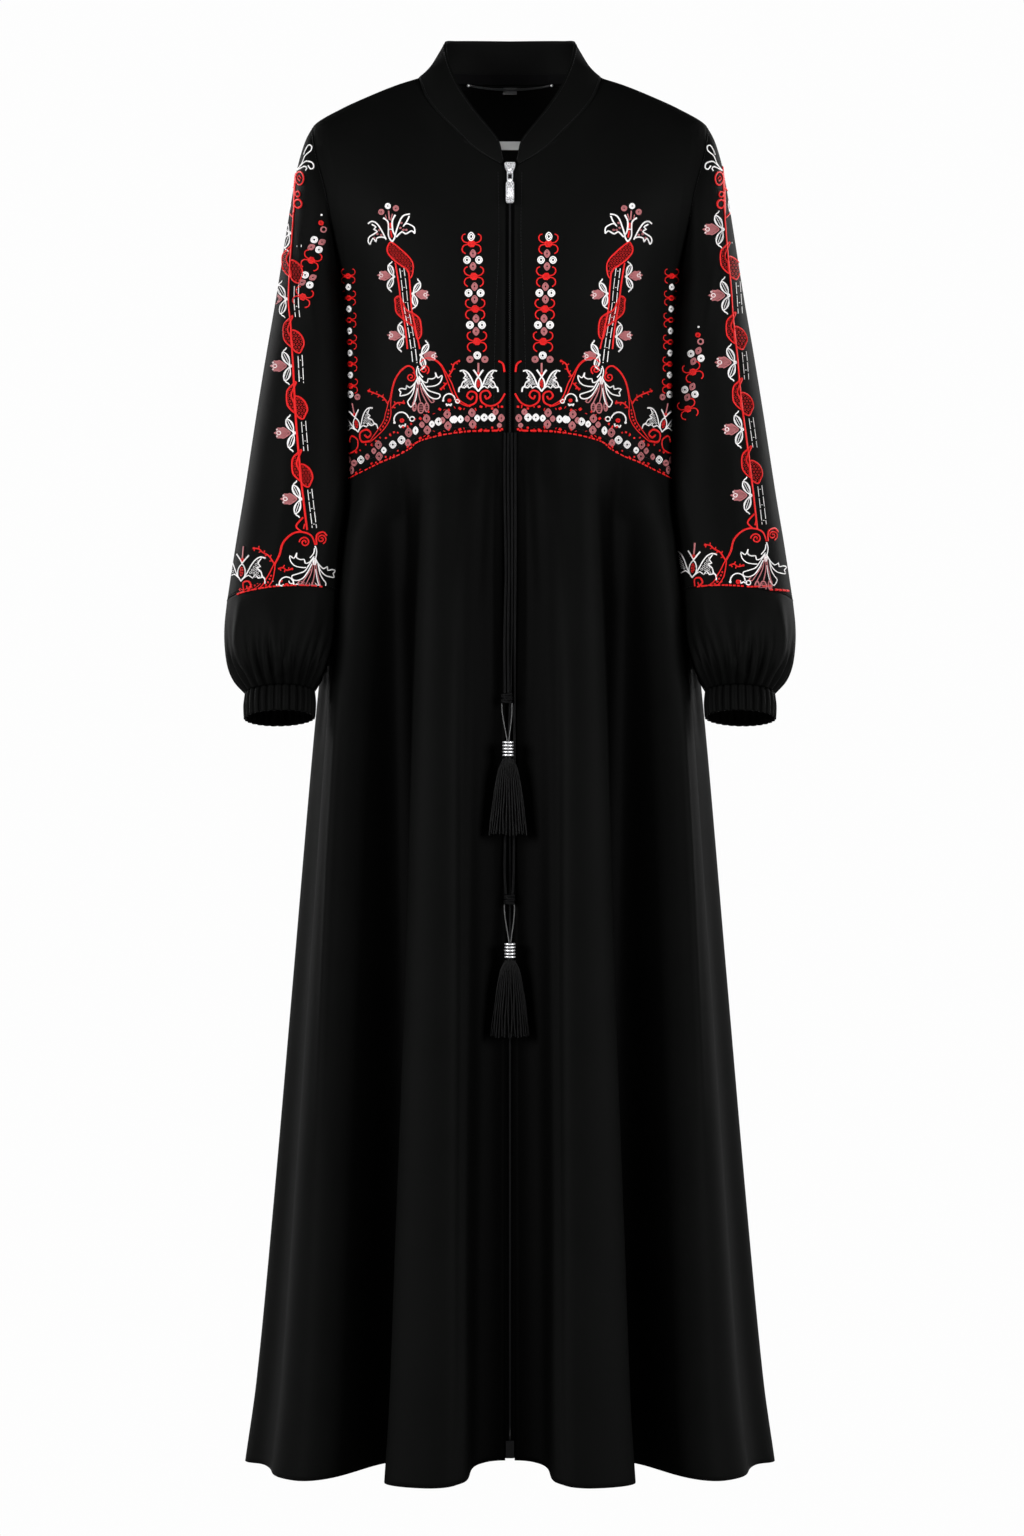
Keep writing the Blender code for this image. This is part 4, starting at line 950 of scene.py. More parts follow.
FRONT_CREASES = [
    Crease(0.666, 0.22, 0.668, 0.7, 5, 2.4, 0),
    Crease(0.135, 0.1, 0.14, 1.2, 7, -3.5, 0),
    Crease(0.062, -0.05, 0.035, 0.3, 4, -1.8, 2),
    Crease(0.105, -0.06, 0.09, 0.2, 5, -1.5, -2),
    Crease(0.2, -0.04, 0.185, 0.24, 9, -1.6, 3),
    Crease(0.42, -0.05, 0.4, 0.16, 8, -1.8, 0),
    Crease(0.8, 0.05, 0.84, 0.5, 9, -2, 4),
    Crease(0.93, -0.04, 0.9, 0.3, 8, -2.2, -3),
]
BACK_CREASES = [
    Crease(0.47, -0.05, 0.48, 0.35, 8, -2, 2),
    Crease(0.55, -0.04, 0.545, 0.2, 7, -1.8, -2),
    Crease(0.3, 0.05, 0.28, 0.6, 10, -2.4, 4),
    Crease(0.72, 0.02, 0.74, 0.5, 9, -2.2, -4),
    Crease(0.12, 0.1, 0.09, 0.7, 9, -2, 3),
    Crease(0.9, 0.15, 0.92, 0.65, 10, -2.2, -3),
    Crease(0.38, 0.3, 0.36, 1.1, 6, 2, 0),
    Crease(0.63, 0.35, 0.65, 1.1, 6, 2, 0),
]
# The skirt pieces carry the painted shade of their fold valleys.
front_grid = grid_of(0, SIDE_COLUMN, SKIRT_FINENESS, SKIRT_ROWS)
front_skirt = creased(skirt_points(*front_grid), FRONT_CREASES)
front_pair("skirt_front", front_skirt, painted_shade=skirt_painted_shade(*front_grid))
back_grid = grid_of(SIDE_COLUMN, BACK_COLUMN, BACK_FINENESS, BACK_ROWS)
back_half = skirt_points(*back_grid)[:, ::-1].copy()
back_half[:, 0, 0] = 0
back_skirt = creased(both_sides(back_half), BACK_CREASES)
back_painted_shade = skirt_painted_shade(*back_grid)
back_painted_shade = np.concatenate([back_painted_shade, back_painted_shade[:, -2::-1]], axis=1)
cloth_shell("skirt_back", back_skirt, painted_shade=back_painted_shade)

# Bodice: two fronts and a back of the same crepe, from the neck and shoulders to the yoke seam. The
# fronts are embroidered after they are sewn.
ArmholeRow = namedtuple("ArmholeRow", "drop x")
ARMHOLE = [
    ArmholeRow(46, 196),
    ArmholeRow(61, 195),
    ArmholeRow(83, 191),
    ArmholeRow(105, 185),
    ArmholeRow(125, 180.5),
    ArmholeRow(163, 175),
    ArmholeRow(207, 170),
]
ARMHOLE_STEPS = 8
SIDE_STEPS = 5
CollarRow = namedtuple("CollarRow", "step seam_x seam_drop edge_x edge_y edge_z")
COLLAR = [
    CollarRow(0, 8.8, 95, 6.6, -84, -91),
    CollarRow(1, 26, 85, 9.8, -76, -73.5),
    CollarRow(2, 41, 73, 14.5, -70, -64),
    CollarRow(3, 55, 57.5, 23, -62, -52.5),
    CollarRow(4, 71, 39.5, 37, -48, -33),
    CollarRow(5, 84, 20, 51, -31, -9.5),
    CollarRow(6, 91, -2, 60.5, -12, 15),
    CollarRow(7, 86, -2, 65, 8, 36.5),
    CollarRow(8, 74, -2, 63.5, 22, 42.5),
    CollarRow(9, 57, -2, 54, 34, 44.5),
    CollarRow(10, 38, -2, 39, 43, 46),
    CollarRow(11, 19, -2, 20.5, 47, 46.5),
    CollarRow(12, 0, -2, 0, 48.5, 46.5),
]
NECK_STEPS = 6
SHOULDER_STEPS = 5
SHOULDER_EASE = 1.1
BODICE_FINENESS = 5


def armhole_point(step):
    """Turn and drop of the armhole, from the shoulder tip down to the underarm, on the front."""
    top, bottom = ARMHOLE[0].drop, ARMHOLE[-1].drop
    drop = (top + bottom) / 2 - (bottom - top) / 2 * np.cos(pi * step / ARMHOLE_STEPS)
    turn = body_turn(value_at(ARMHOLE, "x", drop), drop)
    at_end = (np.asarray(step) <= 0) | (np.asarray(step) >= ARMHOLE_STEPS)
    return np.where(at_end, pi / 2, turn), drop


def neck_point(step, back):
    """Turn and drop of the neck seam, measured from the centre front or the centre back."""
    place = 2 * NECK_STEPS - step if back else step
    drop = value_at(COLLAR, "seam_drop", place)
    return body_turn(value_at(COLLAR, "seam_x", place), drop), drop


def bodice_points(back):
    """One half of the front or back bodice, filled in from its four edges."""
    columns, rows = NECK_STEPS + SHOULDER_STEPS, ARMHOLE_STEPS + SIDE_STEPS
    c = np.linspace(0, columns, columns * BODICE_FINENESS + 1)
    r = np.linspace(0, rows, rows * BODICE_FINENESS + 1)
    neck_turn, neck_drop = neck_point(np.minimum(c, NECK_STEPS), back)
    beyond = np.clip((c - NECK_STEPS) / SHOULDER_STEPS, 0, 1)
    shoulder = BODY[0].drop + (ARMHOLE[0].drop - BODY[0].drop) * beyond**SHOULDER_EASE
    on_neck = c < NECK_STEPS
    top_turn, top_drop = np.where(on_neck, neck_turn, pi / 2), np.where(on_neck, neck_drop, shoulder)
    bottom_turn, bottom_drop = yoke_edge(BACK_COLUMN - 2 * c if back else 2 * c)
    bottom_turn = pi - bottom_turn if back else bottom_turn
    arm_turn, arm_drop = armhole_point(np.minimum(r, ARMHOLE_STEPS))
    below = np.clip((r - ARMHOLE_STEPS) / SIDE_STEPS, 0, 1)
    side_drop = ARMHOLE[-1].drop + (bottom_drop[-1] - ARMHOLE[-1].drop) * below
    on_arm = r <= ARMHOLE_STEPS
    end_turn, end_drop = np.where(on_arm, arm_turn, pi / 2), np.where(on_arm, arm_drop, side_drop)
    start_drop = top_drop[0] + (bottom_drop[0] - top_drop[0]) * r / rows
    start_turn = np.zeros_like(start_drop) if back else body_turn(FRONT_OPENING, start_drop)
    start_turn[0] = top_turn[0]
    start_turn[-1] = bottom_turn[0]

    def share(line):
        """How far along a line of turns each one is, from 0 to 1."""
        return (line - line[0]) / (line[-1] - line[0])

    t, s = (r / rows)[:, None], (c / columns)[None, :]
    across = share(top_turn)[None, :] * (1 - t) + share(bottom_turn)[None, :] * t
    turn = start_turn[:, None] + (end_turn - start_turn)[:, None] * across
    sides = start_drop[:, None] + (end_drop - start_drop)[:, None] * s
    length = top_drop[None, :] + (bottom_drop - top_drop)[None, :] * t
    corners = (top_drop[0] + (top_drop[-1] - top_drop[0]) * s) * (1 - t)
    corners = corners + (bottom_drop[0] + (bottom_drop[-1] - bottom_drop[0]) * s) * t
    drop = sides + length - corners
    return body_point(pi - turn if back else turn, drop)


front_bodice = bodice_points(back=False)
front_pair("bodice_front", front_bodice)
back_bodice = bodice_points(back=True)
back_bodice[:, 0, 0] = 0
cloth_shell("bodice_back", both_sides(back_bodice))

# Collar: one stand band of the crepe, doubled and turned, that tapers to the top of the zip.
COLLAR_SWELL = 2
SWELL_EASE = 3
COLLAR_WALL = 1.4
COLLAR_FINENESS = 8
COLLAR_FINE_ROWS = 14


def collar_points():
    """Half of the band, from the centre front round to the centre back, seam row first."""
    k = np.linspace(0, 2 * NECK_STEPS, 2 * NECK_STEPS * COLLAR_FINENESS + 1)
    drop = value_at(COLLAR, "seam_drop", k)
    turn = body_turn(value_at(COLLAR, "seam_x", k), drop)
    turn = np.where(k > NECK_STEPS, pi - turn, turn)
    turn = np.where(np.abs(k - NECK_STEPS) < 1e-9, pi / 2, turn)
    seam = body_point(turn, drop)
    edge = np.stack([value_at(COLLAR, f"edge_{axis}", k) for axis in "xyz"], axis=-1)
    along = np.gradient(seam, axis=0)
    own = -np.cross(edge - seam, along)
    own /= np.linalg.norm(own, axis=-1, keepdims=True)
    t = np.linspace(0, 1, COLLAR_FINE_ROWS + 1)[:, None, None]
    swell = COLLAR_SWELL * np.sin(pi * t) * np.minimum(1, k / SWELL_EASE)[None, :, None]
    return seam + (edge - seam) * t + own * swell


half_collar = collar_points()[:, ::-1].copy()
half_collar[:, 0, 0] = 0
cloth_shell("collar", both_sides(half_collar), wall=COLLAR_WALL)

# Sleeves: each is an embroidered upper sleeve set in at the armhole, a gathered puff below the elbow
# and a shirred elastic cuff, all of the same crepe.
SleeveRing = namedtuple("SleeveRing", "outer_x outer_drop inner_x inner_drop depth forward tilt wave")
SLEEVE = [
    SleeveRing(196, 46, 170, 207, 51, 0, 0, 0),
    SleeveRing(205, 62, 166, 211, 55, 0, 0, 0),
    SleeveRing(213, 90, 162, 219, 58, 0, 0, 0),
    SleeveRing(219, 125, 160, 232, 59, 1, 1, 0),
    SleeveRing(226, 170, 156, 252, 60, 3, 2, 0),
    SleeveRing(234, 222, 153, 282, 60, 6, 3, 0),
    SleeveRing(243, 275, 151, 318, 60, 9, 5, 0),
    SleeveRing(251, 325, 150, 356, 59.5, 12, 6, 0),
    SleeveRing(258, 372, 151, 395, 59, 16, 8, 0),
    SleeveRing(265, 420, 154, 435, 59, 22, 9, 0),
    SleeveRing(272.5, 468, 160, 476, 59, 30, 10, 0),
    SleeveRing(280.5, 525, 166, 517, 59, 40, 11, 0),
]
PUFF = [
    SLEEVE[-1],
    SleeveRing(282.5, 548, 169, 540, 61.5, 46, 12, 0.1),
    SleeveRing(281.5, 568, 173, 562, 62, 52, 13, 0.6),
    SleeveRing(277, 588, 180, 583, 59, 59, 13, 1.8),
    SleeveRing(269, 603, 187, 599, 50, 65, 13, 3),
    SleeveRing(260, 615, 193, 613, 34, 70, 13, 1),
]
CUFF = [
    SleeveRing(260, 615, 193, 613, 34, 70, 13, 1.2),
    SleeveRing(261, 627, 192, 625, 35, 73.5, 13, 1.4),
    SleeveRing(260.5, 640, 192.5, 638, 34, 77, 13, 1.2),
]
Room = namedtuple("Room", "drop gap")
BESIDE_BODY = [
    Room(207, 0.4),
    Room(225, 1.2),
    Room(260, 1.3),
    Room(400, 1.8),
    Room(520, 4),
    Room(640, 6),
]
ARMHOLE_EASE = 4
GATHERS = 24
CUFF_RIBS = 28
SLEEVE_COLUMNS = 112
PUFF_COLUMNS = 240
CUFF_COLUMNS = 224
SLEEVE_PARTS = 8
PUFF_PARTS = 7
CUFF_PARTS = 6
# Painted shade between the puffs' gathers and the cuffs' ribs. It is darkest in the dips and grows towards
# the foot of the puff.
RIPPLE_DIP = 0.35
RIPPLE_SHADE = 0.75
GATHERED_SHADE = 0.25
PUFF_SHADE_EASE = 2.5


def ring_points(ring, swing, ripple):
    """Points round a sleeve ring: swing 0 is the outer side, a quarter turn the front."""
    outer = np.array([ring.outer_x, -ring.forward, -ring.outer_drop], float)
    inner = np.array([ring.inner_x, -ring.forward, -ring.inner_drop], float)
    tilt = radians(ring.tilt)
    forward = np.array([0, -cos(tilt), sin(tilt)]) * ring.depth
    arm = (outer - inner) / 2 * np.cos(swing)[:, None] + forward * np.sin(swing)[:, None]
    length = np.linalg.norm(arm, axis=-1, keepdims=True)
    return beside_body((outer + inner) / 2 + arm * (1 + ring.wave * ripple[:, None] / length))


def beside_body(points):
    """Presses a sleeve flat where it lies against the body, just clear of it."""
    y, drop = points[..., 1], -points[..., 2]
    depth = np.where(y < 0, value_at(BODY, "front", drop), value_at(BODY, "back", drop))
    roundness = value_at(BODY, "roundness", drop)
    share = np.maximum(0, 1 - (np.abs(y) / depth) ** roundness)
    side = value_at(BODY, "half_width", drop) * share ** (1 / roundness)
    side += value_at(BESIDE_BODY, "gap", drop)
    return np.stack([np.maximum(points[..., 0], side), y, points[..., 2]], axis=-1)


def seated(points, swing):
    """Eases the first rings of the sleeve into the armhole's own line."""
    step = np.where(swing <= pi, swing, 2 * pi - swing) / pi * ARMHOLE_STEPS
    turn, drop = armhole_point(step)
    seat = body_point(np.where(swing > pi, pi - turn, turn), drop)
    shift = seat - points[0]
    for r in range(ARMHOLE_EASE):
        points[r] += shift * (1 - r / ARMHOLE_EASE) ** 2
    return points


def between_rings(points, per):
    """Extra rings on smooth curves through the given ones: so many parts from each to the next."""
    last = len(points) - 1
    out = []
    for k in range(last):
        before, after = points[max(k - 1, 0)], points[min(k + 2, last)]
        start, end = points[k], points[k + 1]
        for part in range(per):
            out.append(smooth_step(part / per, start, (end - before) / 2, end, (after - start) / 2))
    return np.array(out + [points[-1]])


def sleeve_tube(rings, columns, per, ripple_of, seat=False):
    """A tube of cloth through rings, columns from the outer side round by the front."""
    swing = np.linspace(0, 2 * pi, columns + 1)
    points = np.array([ring_points(ring, swing, ripple_of(swing)) for ring in rings])
    if seat:
        points = seated(points, swing)
    points = between_rings(points, per)
    points[:, -1] = points[:, 0]
    return points


def no_ripple(swing):
    """The smooth upper sleeve."""
    return np.zeros_like(swing)


def gathers(swing):
    """The uneven gathers of the puff."""
    return np.cos(GATHERS * swing + 0.5 * np.sin(3 * swing)) * (0.8 + 0.3 * np.sin(5 * swing + 1))


def cuff_ribs(swing):
    """The even ribs of the shirred cuff."""
    return 2 * np.abs(np.cos(CUFF_RIBS / 2 * swing)) ** 0.7 - 1


def painted_ripple_shade(columns, ripple_of, down):
    """Painted shade on gathered cloth: strongest where the ripple dips between gathers or ribs, with an
    even part over all of it, each ring's share scaling it.
    """
    dip = np.clip(RIPPLE_DIP - ripple_of(np.linspace(0, 2 * pi, columns + 1)), 0, 1)
    return down[:, None] * (RIPPLE_SHADE * dip[None, :] + GATHERED_SHADE)


SLEEVE_CREASES = [
    Crease(0.3, 0.03, 0.36, 0.28, 7, -2.2, 4),
    Crease(0.42, 0.0, 0.44, 0.2, 6, -1.8, -3),
    Crease(0.14, 0.3, 0.3, 0.52, 8, -1.6, 5),
    Crease(0.2, 0.72, 0.22, 0.98, 9, -2, 3),
    Crease(0.4, 0.66, 0.36, 0.97, 8, -1.8, -3),
    Crease(0.62, 0.05, 0.6, 0.3, 8, -2.4, 4),
    Crease(0.78, 0.25, 0.7, 0.55, 9, -2.2, -5),
    Crease(0.66, 0.6, 0.7, 0.95, 9, -2.4, 4),
    Crease(0.86, 0.7, 0.84, 0.98, 8, -2, -3),
]
PUFF_CREASES = [
    Crease(0.12, 0.05, 0.1, 0.8, 7, -2.6, 3),
    Crease(0.22, 0.1, 0.24, 0.9, 8, -3, -3),
    Crease(0.35, 0.02, 0.33, 0.85, 7, -2.4, 2),
    Crease(0.44, 0.2, 0.45, 0.9, 6, -2, -2),
    Crease(0.57, 0.1, 0.56, 0.85, 8, -2.8, 3),
    Crease(0.7, 0.05, 0.72, 0.9, 8, -2.6, -3),
    Crease(0.85, 0.1, 0.84, 0.8, 7, -2.4, 3),
]
sleeve = creased(
    sleeve_tube(SLEEVE, SLEEVE_COLUMNS, SLEEVE_PARTS, no_ripple, seat=True), SLEEVE_CREASES, closed=True
)
puff = creased(sleeve_tube(PUFF, PUFF_COLUMNS, PUFF_PARTS, gathers), PUFF_CREASES, closed=True)
cuff = sleeve_tube(CUFF, CUFF_COLUMNS, CUFF_PARTS, cuff_ribs)
# Painted shade for the puffs, growing towards their foot, and for the cuffs.
puff_painted_shade = painted_ripple_shade(PUFF_COLUMNS, gathers, np.linspace(0, 1, len(puff)) ** PUFF_SHADE_EASE)
cuff_painted_shade = painted_ripple_shade(CUFF_COLUMNS, cuff_ribs, np.ones(len(cuff)))
for side, way in (("left", 1), ("right", -1)):
    flip = np.array([way, 1, 1])
    cloth_shell(f"sleeve_{side}", sleeve * flip, closed=True)
    for name, points, flat, area, painted_shade_mask in (
        (f"sleeve_puff_{side}", puff * flip, (0.36, 0.13), 0.04, puff_painted_shade),
        (f"cuff_{side}", cuff * flip, (0.3, 0.03), 0.006, cuff_painted_shade),
    ):
        cloth_shell(name, points, closed=True, painted_shade=painted_shade_mask)

# Embroidery: chain and satin stitch in bright red, white and dusty rose thread, worked by machine on
# the fronts and the sleeves before the seams are sewn. Every place below is in millimetres, x across
# and drop down, on the upright plane through the garment's middle, as it is sighted from the front.
Stroke = namedtuple("Stroke", "thread thick points")
Spot = namedtuple("Spot", "x drop")
THREAD_RADIUS = 0.62
THREAD_LIFT = 0.25
THREAD_STEP = 1.7
LAID_STEP = 1.6 * THREAD_STEP
LONGEST_STITCH = 14
STITCH_GAP = 1.15
SATIN_THICK = 0.85
DOT_THICK = 0.9
DOT_LINE = 0.8
NET_ROW = 0.87
NET_RING = 0.95
NET_THICK = 0.42
CURL_STEPS = 14
CURL_CLOSES = 0.86
LEAF_STEPS = 8
DOUBLE_THICK = 0.95
THORN_LONG = 2.6
LADDER_APART = 4.2
LADDER_THICK = 0.72
LADDER_GAP_EVERY = 7
LADDER_RUNG_EVERY = 9
THREAD_COLOURS = {"red": (0.78, 0.008, 0.008), "white": (0.98, 0.96, 0.96), "rose": (0.5, 0.17, 0.18)}
THREADS = {}
for thread, colour in THREAD_COLOURS.items():
    THREADS[thread] = yarn_material(
        f"{thread}_thread", colour, braided, scale=900, bump=0.12, roughness=0.45, specular=0.25
    )


def flowing(points, closed=False):
    """A smooth line through a few points, with a spot about every thread step."""
    spots = [Vector(point) for point in points]
    last = len(spots)
    out = []
    for k in range(last if closed else last - 1):
        start, end = spots[k], spots[(k + 1) % last]
        before = spots[k - 1] if closed or k else start
        after = spots[(k + 2) % last] if closed or k + 2 < last else end
        parts = max(1, round((end - start).length / THREAD_STEP))
        for part in range(parts):
            out.append(smooth_step(part / parts, start, (end - before) / 2, end, (after - start) / 2))
    out.append(out[0] if closed else spots[-1])
    return out


def line(thread, *points, thick=1.0):
    """One line of thread that flows through a few points."""
    return [Stroke(thread, thick, flowing(points))]


def lines(thread, runs, thick):
    """Several lines of one thread."""
    return [Stroke(thread, thick, flowing(points)) for points in runs]


def moved(strokes, x, drop, turn=0.0, size=1.0, flip=False):
    """The same strokes turned, sized, mirrored and set down at another place."""
    c, s = cos(turn) * size, sin(turn) * size
    way = -1 if flip else 1
    out = []
    for thread, thick, points in strokes:
        spots = [Vector((x + c * way * a - s * b, drop + s * way * a + c * b)) for a, b in points]
        out.append(Stroke(thread, thick, spots))
    return out


def mirrored_pair(strokes):
    """The strokes and their mirror image."""
    return strokes + moved(strokes, 0, 0, flip=True)


def oval(thread, half_width, half_height, x=0.0, drop=0.0, thick=1.0, start=0.0, end=2 * pi, square=1.0):
    """An oval line, or a part of one: square under 1 swells its corners, over 1 makes a diamond."""
    steps = max(5, round((half_width + half_height) * abs(end - start) / 2 / THREAD_STEP) + 2)
    points = []
    for step in range(steps + 1):
        turn = start + (end - start) * step / steps
        a, b = cos(turn), sin(turn)
        a = abs(a) ** square * (1 if a > 0 else -1)
        b = abs(b) ** square * (1 if b > 0 else -1)
        points.append(Vector((x + half_width * a, drop + half_height * b)))
    return [Stroke(thread, thick, points)]


def span_of(outline, axis):
    """The least and the greatest place of an outline along one axis."""
    places = [point[axis] for point in outline]
    return min(places), max(places)


def cuts_at(outline, level):
    """Where a level line crosses an outline."""
    cuts = []
    for k, start in enumerate(outline):
        end = outline[(k + 1) % len(outline)]
        if (start[1] <= level) != (end[1] <= level):
            cuts.append(start[0] + (end[0] - start[0]) * (level - start[1]) / (end[1] - start[1]))
    return cuts


def satin(thread, outline, gap=STITCH_GAP, thick=SATIN_THICK):
    """Satin stitch: thread laid to and fro across an outline."""
    lowest, highest = span_of(outline, 1)
    rows = max(1, int((highest - lowest) / gap))
    path = []
    for row in range(rows):
        level = lowest + (row + 0.5) * (highest - lowest) / rows
        cuts = cuts_at(outline, level)
        if len(cuts) > 1:
            ends = [Vector((min(cuts), level)), Vector((max(cuts), level))]
            path += ends if row % 2 else ends[::-1]
    return [Stroke(thread, thick, path)] if len(path) > 1 else []


def dot(thread, radius, x=0.0, drop=0.0):
    """A filled round spot with a line just inside its edge."""
    outline = oval(thread, radius, radius, x, drop)[0].points
    rim = oval(thread, radius * DOT_LINE, radius * DOT_LINE, x, drop)
    return satin(thread, outline, gap=DOT_THICK, thick=DOT_THICK) + rim


def webbed(thread, outline, pitch=3.3):
    """Small rings set close inside an outline, as in an open worked net."""
    lowest, highest = span_of(outline, 1)
    leftmost, rightmost = span_of(outline, 0)
    out = []
    for row in range(int((highest - lowest) / (pitch * NET_ROW))):
        drop = lowest + pitch * NET_ROW * (row + 0.7)
        cuts = cuts_at(outline, drop)
        for place in range(int((rightmost - leftmost) / pitch) + 1):
            x = leftmost + pitch * (place + (0.3 if row % 2 else 0.8))
            if sum(cut > x for cut in cuts) % 2:
                out += oval(thread, NET_RING, NET_RING, x, drop, NET_THICK)
    return out


def curl(radius, turns, thick):
    """A closing red spiral from its outer end at the right, wound upwards."""
    steps = round(turns * CURL_STEPS)
    points = []
    for step in range(steps + 1):
        t = step / steps
        reach = radius * (1 - CURL_CLOSES * t)
        points.append(Vector((reach * cos(2 * pi * turns * t), -reach * sin(2 * pi * turns * t))))
    return [Stroke("red", thick, points)]


def leaf(length, width):
    """A white leaf from its joint along +x, worked in open rows, with a hooked tip."""
    outline = []
    for way in (1, -1):
        for step in range(LEAF_STEPS + 1):
            t = step / LEAF_STEPS if way > 0 else 1 - step / LEAF_STEPS
            swell = sin(pi * min(0.97, max(0.03, t))) ** 0.75 * (0.7 + 0.5 * t)
            outline.append(Vector((length * t, way * width / 2 * swell)))
    hook = [(length, 0), (length + 1.2, 1.6), (length + 1.6, 4), (length + 2.6, 5.4)]
    tip = line("white", *hook, thick=1.1)
    return [Stroke("white", 1.15, outline)] + satin("white", outline, gap=1.9, thick=0.6) + tip


BUD = [(-4, 0), (-8.5, -4), (-11.5, -5.4), (-13.5, -4), (-16, -5), (-17.6, -3), (-17, -1.2), (-20, 0)]
BUD += [(x, -drop) for x, drop in BUD[-2:0:-1]]


def side_flower():
    """A rose bud between two leaves, pointing left from its joint on the stem."""
    bud = flowing(BUD, closed=True)
    out = dot("white", 1.5) + [Stroke("rose", 1, bud)] + satin("rose", bud)
    out += oval("white", 2, 1.8, -15.4, 0) + dot("white", 0.7, -17.2, -3.4) + dot("white", 0.7, -17.2, 3.4)
    out += moved(leaf(14, 6.5), -1, -1.2, turn=-2.05)
    return out + moved(moved(leaf(14, 6.5), 0, 0, turn=pi, flip=True), -0.8, 1.4, turn=1.9)


def petal(thread, half_width, half_height, x, drop, square):
    """A bead-like petal: two lines, one inside the other, round a dark eye."""
    out = []
    for share, thick in ((0.84, 1.15), (0.46, 1.1)):
        out += oval(thread, half_width * share, half_height * share, x, drop, thick, square=square)
    return out


def four_petals():
    """A flower of four petals: rose above and below, white at the sides."""
    out = petal("rose", 3.3, 4.5, 0, -6.4, 1.4) + petal("rose", 3.3, 4.5, 0, 6.4, 1.4)
    return out + petal("white", 3.9, 4.1, -6, 0, 1.1) + petal("white", 3.9, 4.1, 6, 0, 1.1)


def curled_dot():
    """A red dot with four open curls, between the flowers of a chain."""
    above = [(3, -0.6), (7.4, -1.8), (9.6, -5), (8.8, -8.4), (6.2, -9.6)]
    below = [(3, 0.6), (7.6, 1.8), (9.4, 5), (8.6, 8.2), (6, 10)]
    return dot("red", 3.6) + mirrored_pair(lines("red", [above, below], 1.05))


def winged_flower():
    """A small flower between two ragged wings, standing on its foot at the origin."""
    upper = [(-0.6, -1), (-4, -6), (-7.6, -14), (-11, -19), (-15, -21.4), (-19, -20.6)]
    ragged = [(-15.5, -20.4), (-13, -16), (-15.2, -13.4), (-12, -12), (-15.8, -9.4), (-17.4, -5)]
    tip = [(-17.4, -5), (-19.6, -3.4), (-20, 0.6)]
    lower = [(-1.4, -2), (-6, -5.4), (-9.4, -3.2), (-11.4, -6.6), (-14, -3.6), (-17.8, -4.8)]
    net = [(-5, -7), (-9, -15), (-14, -19), (-14.4, -9), (-18, -4), (-12, -4.4)]
    wing = line("white", *upper, thick=1.3) + line("white", *ragged) + line("white", *tip, thick=1.3)
    wing += line("white", *lower) + webbed("white", net, pitch=2.8)
    body = [(0, 0), (-2.6, -4), (-3, -9), (-1.4, -13), (0, -14.5)]
    heart = oval("red", 1.3, 4, 0, -8)[0].points
    out = mirrored_pair(wing + line("white", *body, thick=1.2))
    out += mirrored_pair(line("white", (0, -15), (-2.4, -18.6), (-5, -22), thick=1.5))
    out += satin("red", heart, thick=1) + dot("red", 1.6, 0, -17.6)
    return out + line("rose", (0, -19.5), (0, -29), thick=1.5)


def three_rings():
    """Three ringed beads in a bow, over a winged flower."""
    out = petal("white", 3.9, 3.9, 0, -4, 1)
    return out + petal("rose", 3.4, 3.4, -7.3, 0, 1) + petal("rose", 3.4, 3.4, 7.6, 0, 1)


FAN_LOBES = [
    [(0, 11), (-3, 17), (-8, 21.6), (-11.4, 19.6), (-12, 23.2), (-16, 22.4), (-19, 23.6), (-16.8, 26.4)],
    [(-16.8, 26.4), (-18, 29.8), (-13.4, 29.2), (-9.2, 27.6), (-5, 23), (-2.6, 17)],
    [(-2.6, 17), (-4.6, 26.4), (-7.6, 32), (-10.2, 36), (-7.2, 41), (-3.8, 37.6), (-1.6, 30), (-0.4, 22)],
    [(1, 10), (5.4, 15.6), (9.4, 16.4), (10.2, 12.8), (14, 13), (17.6, 11), (17.4, 6.6)],
    [(17.4, 6.6), (20, 11.8), (24, 9.4), (23, 15), (19, 19), (13.4, 20.4), (8.6, 20.6)],
    [(1.4, 11), (6, 18.4), (10, 24), (16, 26.4), (22, 28.6), (21, 32), (16.6, 32.8), (11.6, 30.6)]
    + [(7.6, 25.6), (3, 17)],
    [(0, 0), (-1.4, 5), (-0.6, 11), (1.2, 16)],
    [(0.6, 2), (1.4, 7), (5, 11.4)],
]
FAN_HEART = [
    [(0, 12), (-1.6, 24), (-4.6, 38), (-3.6, 44)],
    [(1.6, 13), (3.6, 25), (8, 35), (11, 40.4)],
    [(0.8, 14), (0.6, 26), (2.6, 36)],
    [(4, 22), (9.6, 31), (13.6, 36.6), (16.4, 35.2), (14.4, 33.4)],
]


def fan_flower():
    """White ragged lobes to both sides and a narrow rose tassel of petals below, from one root."""
    out = petal("white", 1.8, 3.6, 0.6, 15, 1)
    out += lines("white", FAN_LOBES, 1.05) + lines("rose", FAN_HEART, 0.95)
    feet = ((-3.6, 40.4, 1.8, 4.6), (3, 42, 2.9, 5.2), (8.8, 41.4, 2, 4.4))
    for x, drop, half_width, half_height in feet:
        foot = oval("rose", half_width, half_height, x, drop, 1.05)
        out += foot + satin("rose", foot[0].points, gap=1.5, thick=0.6)
    return out


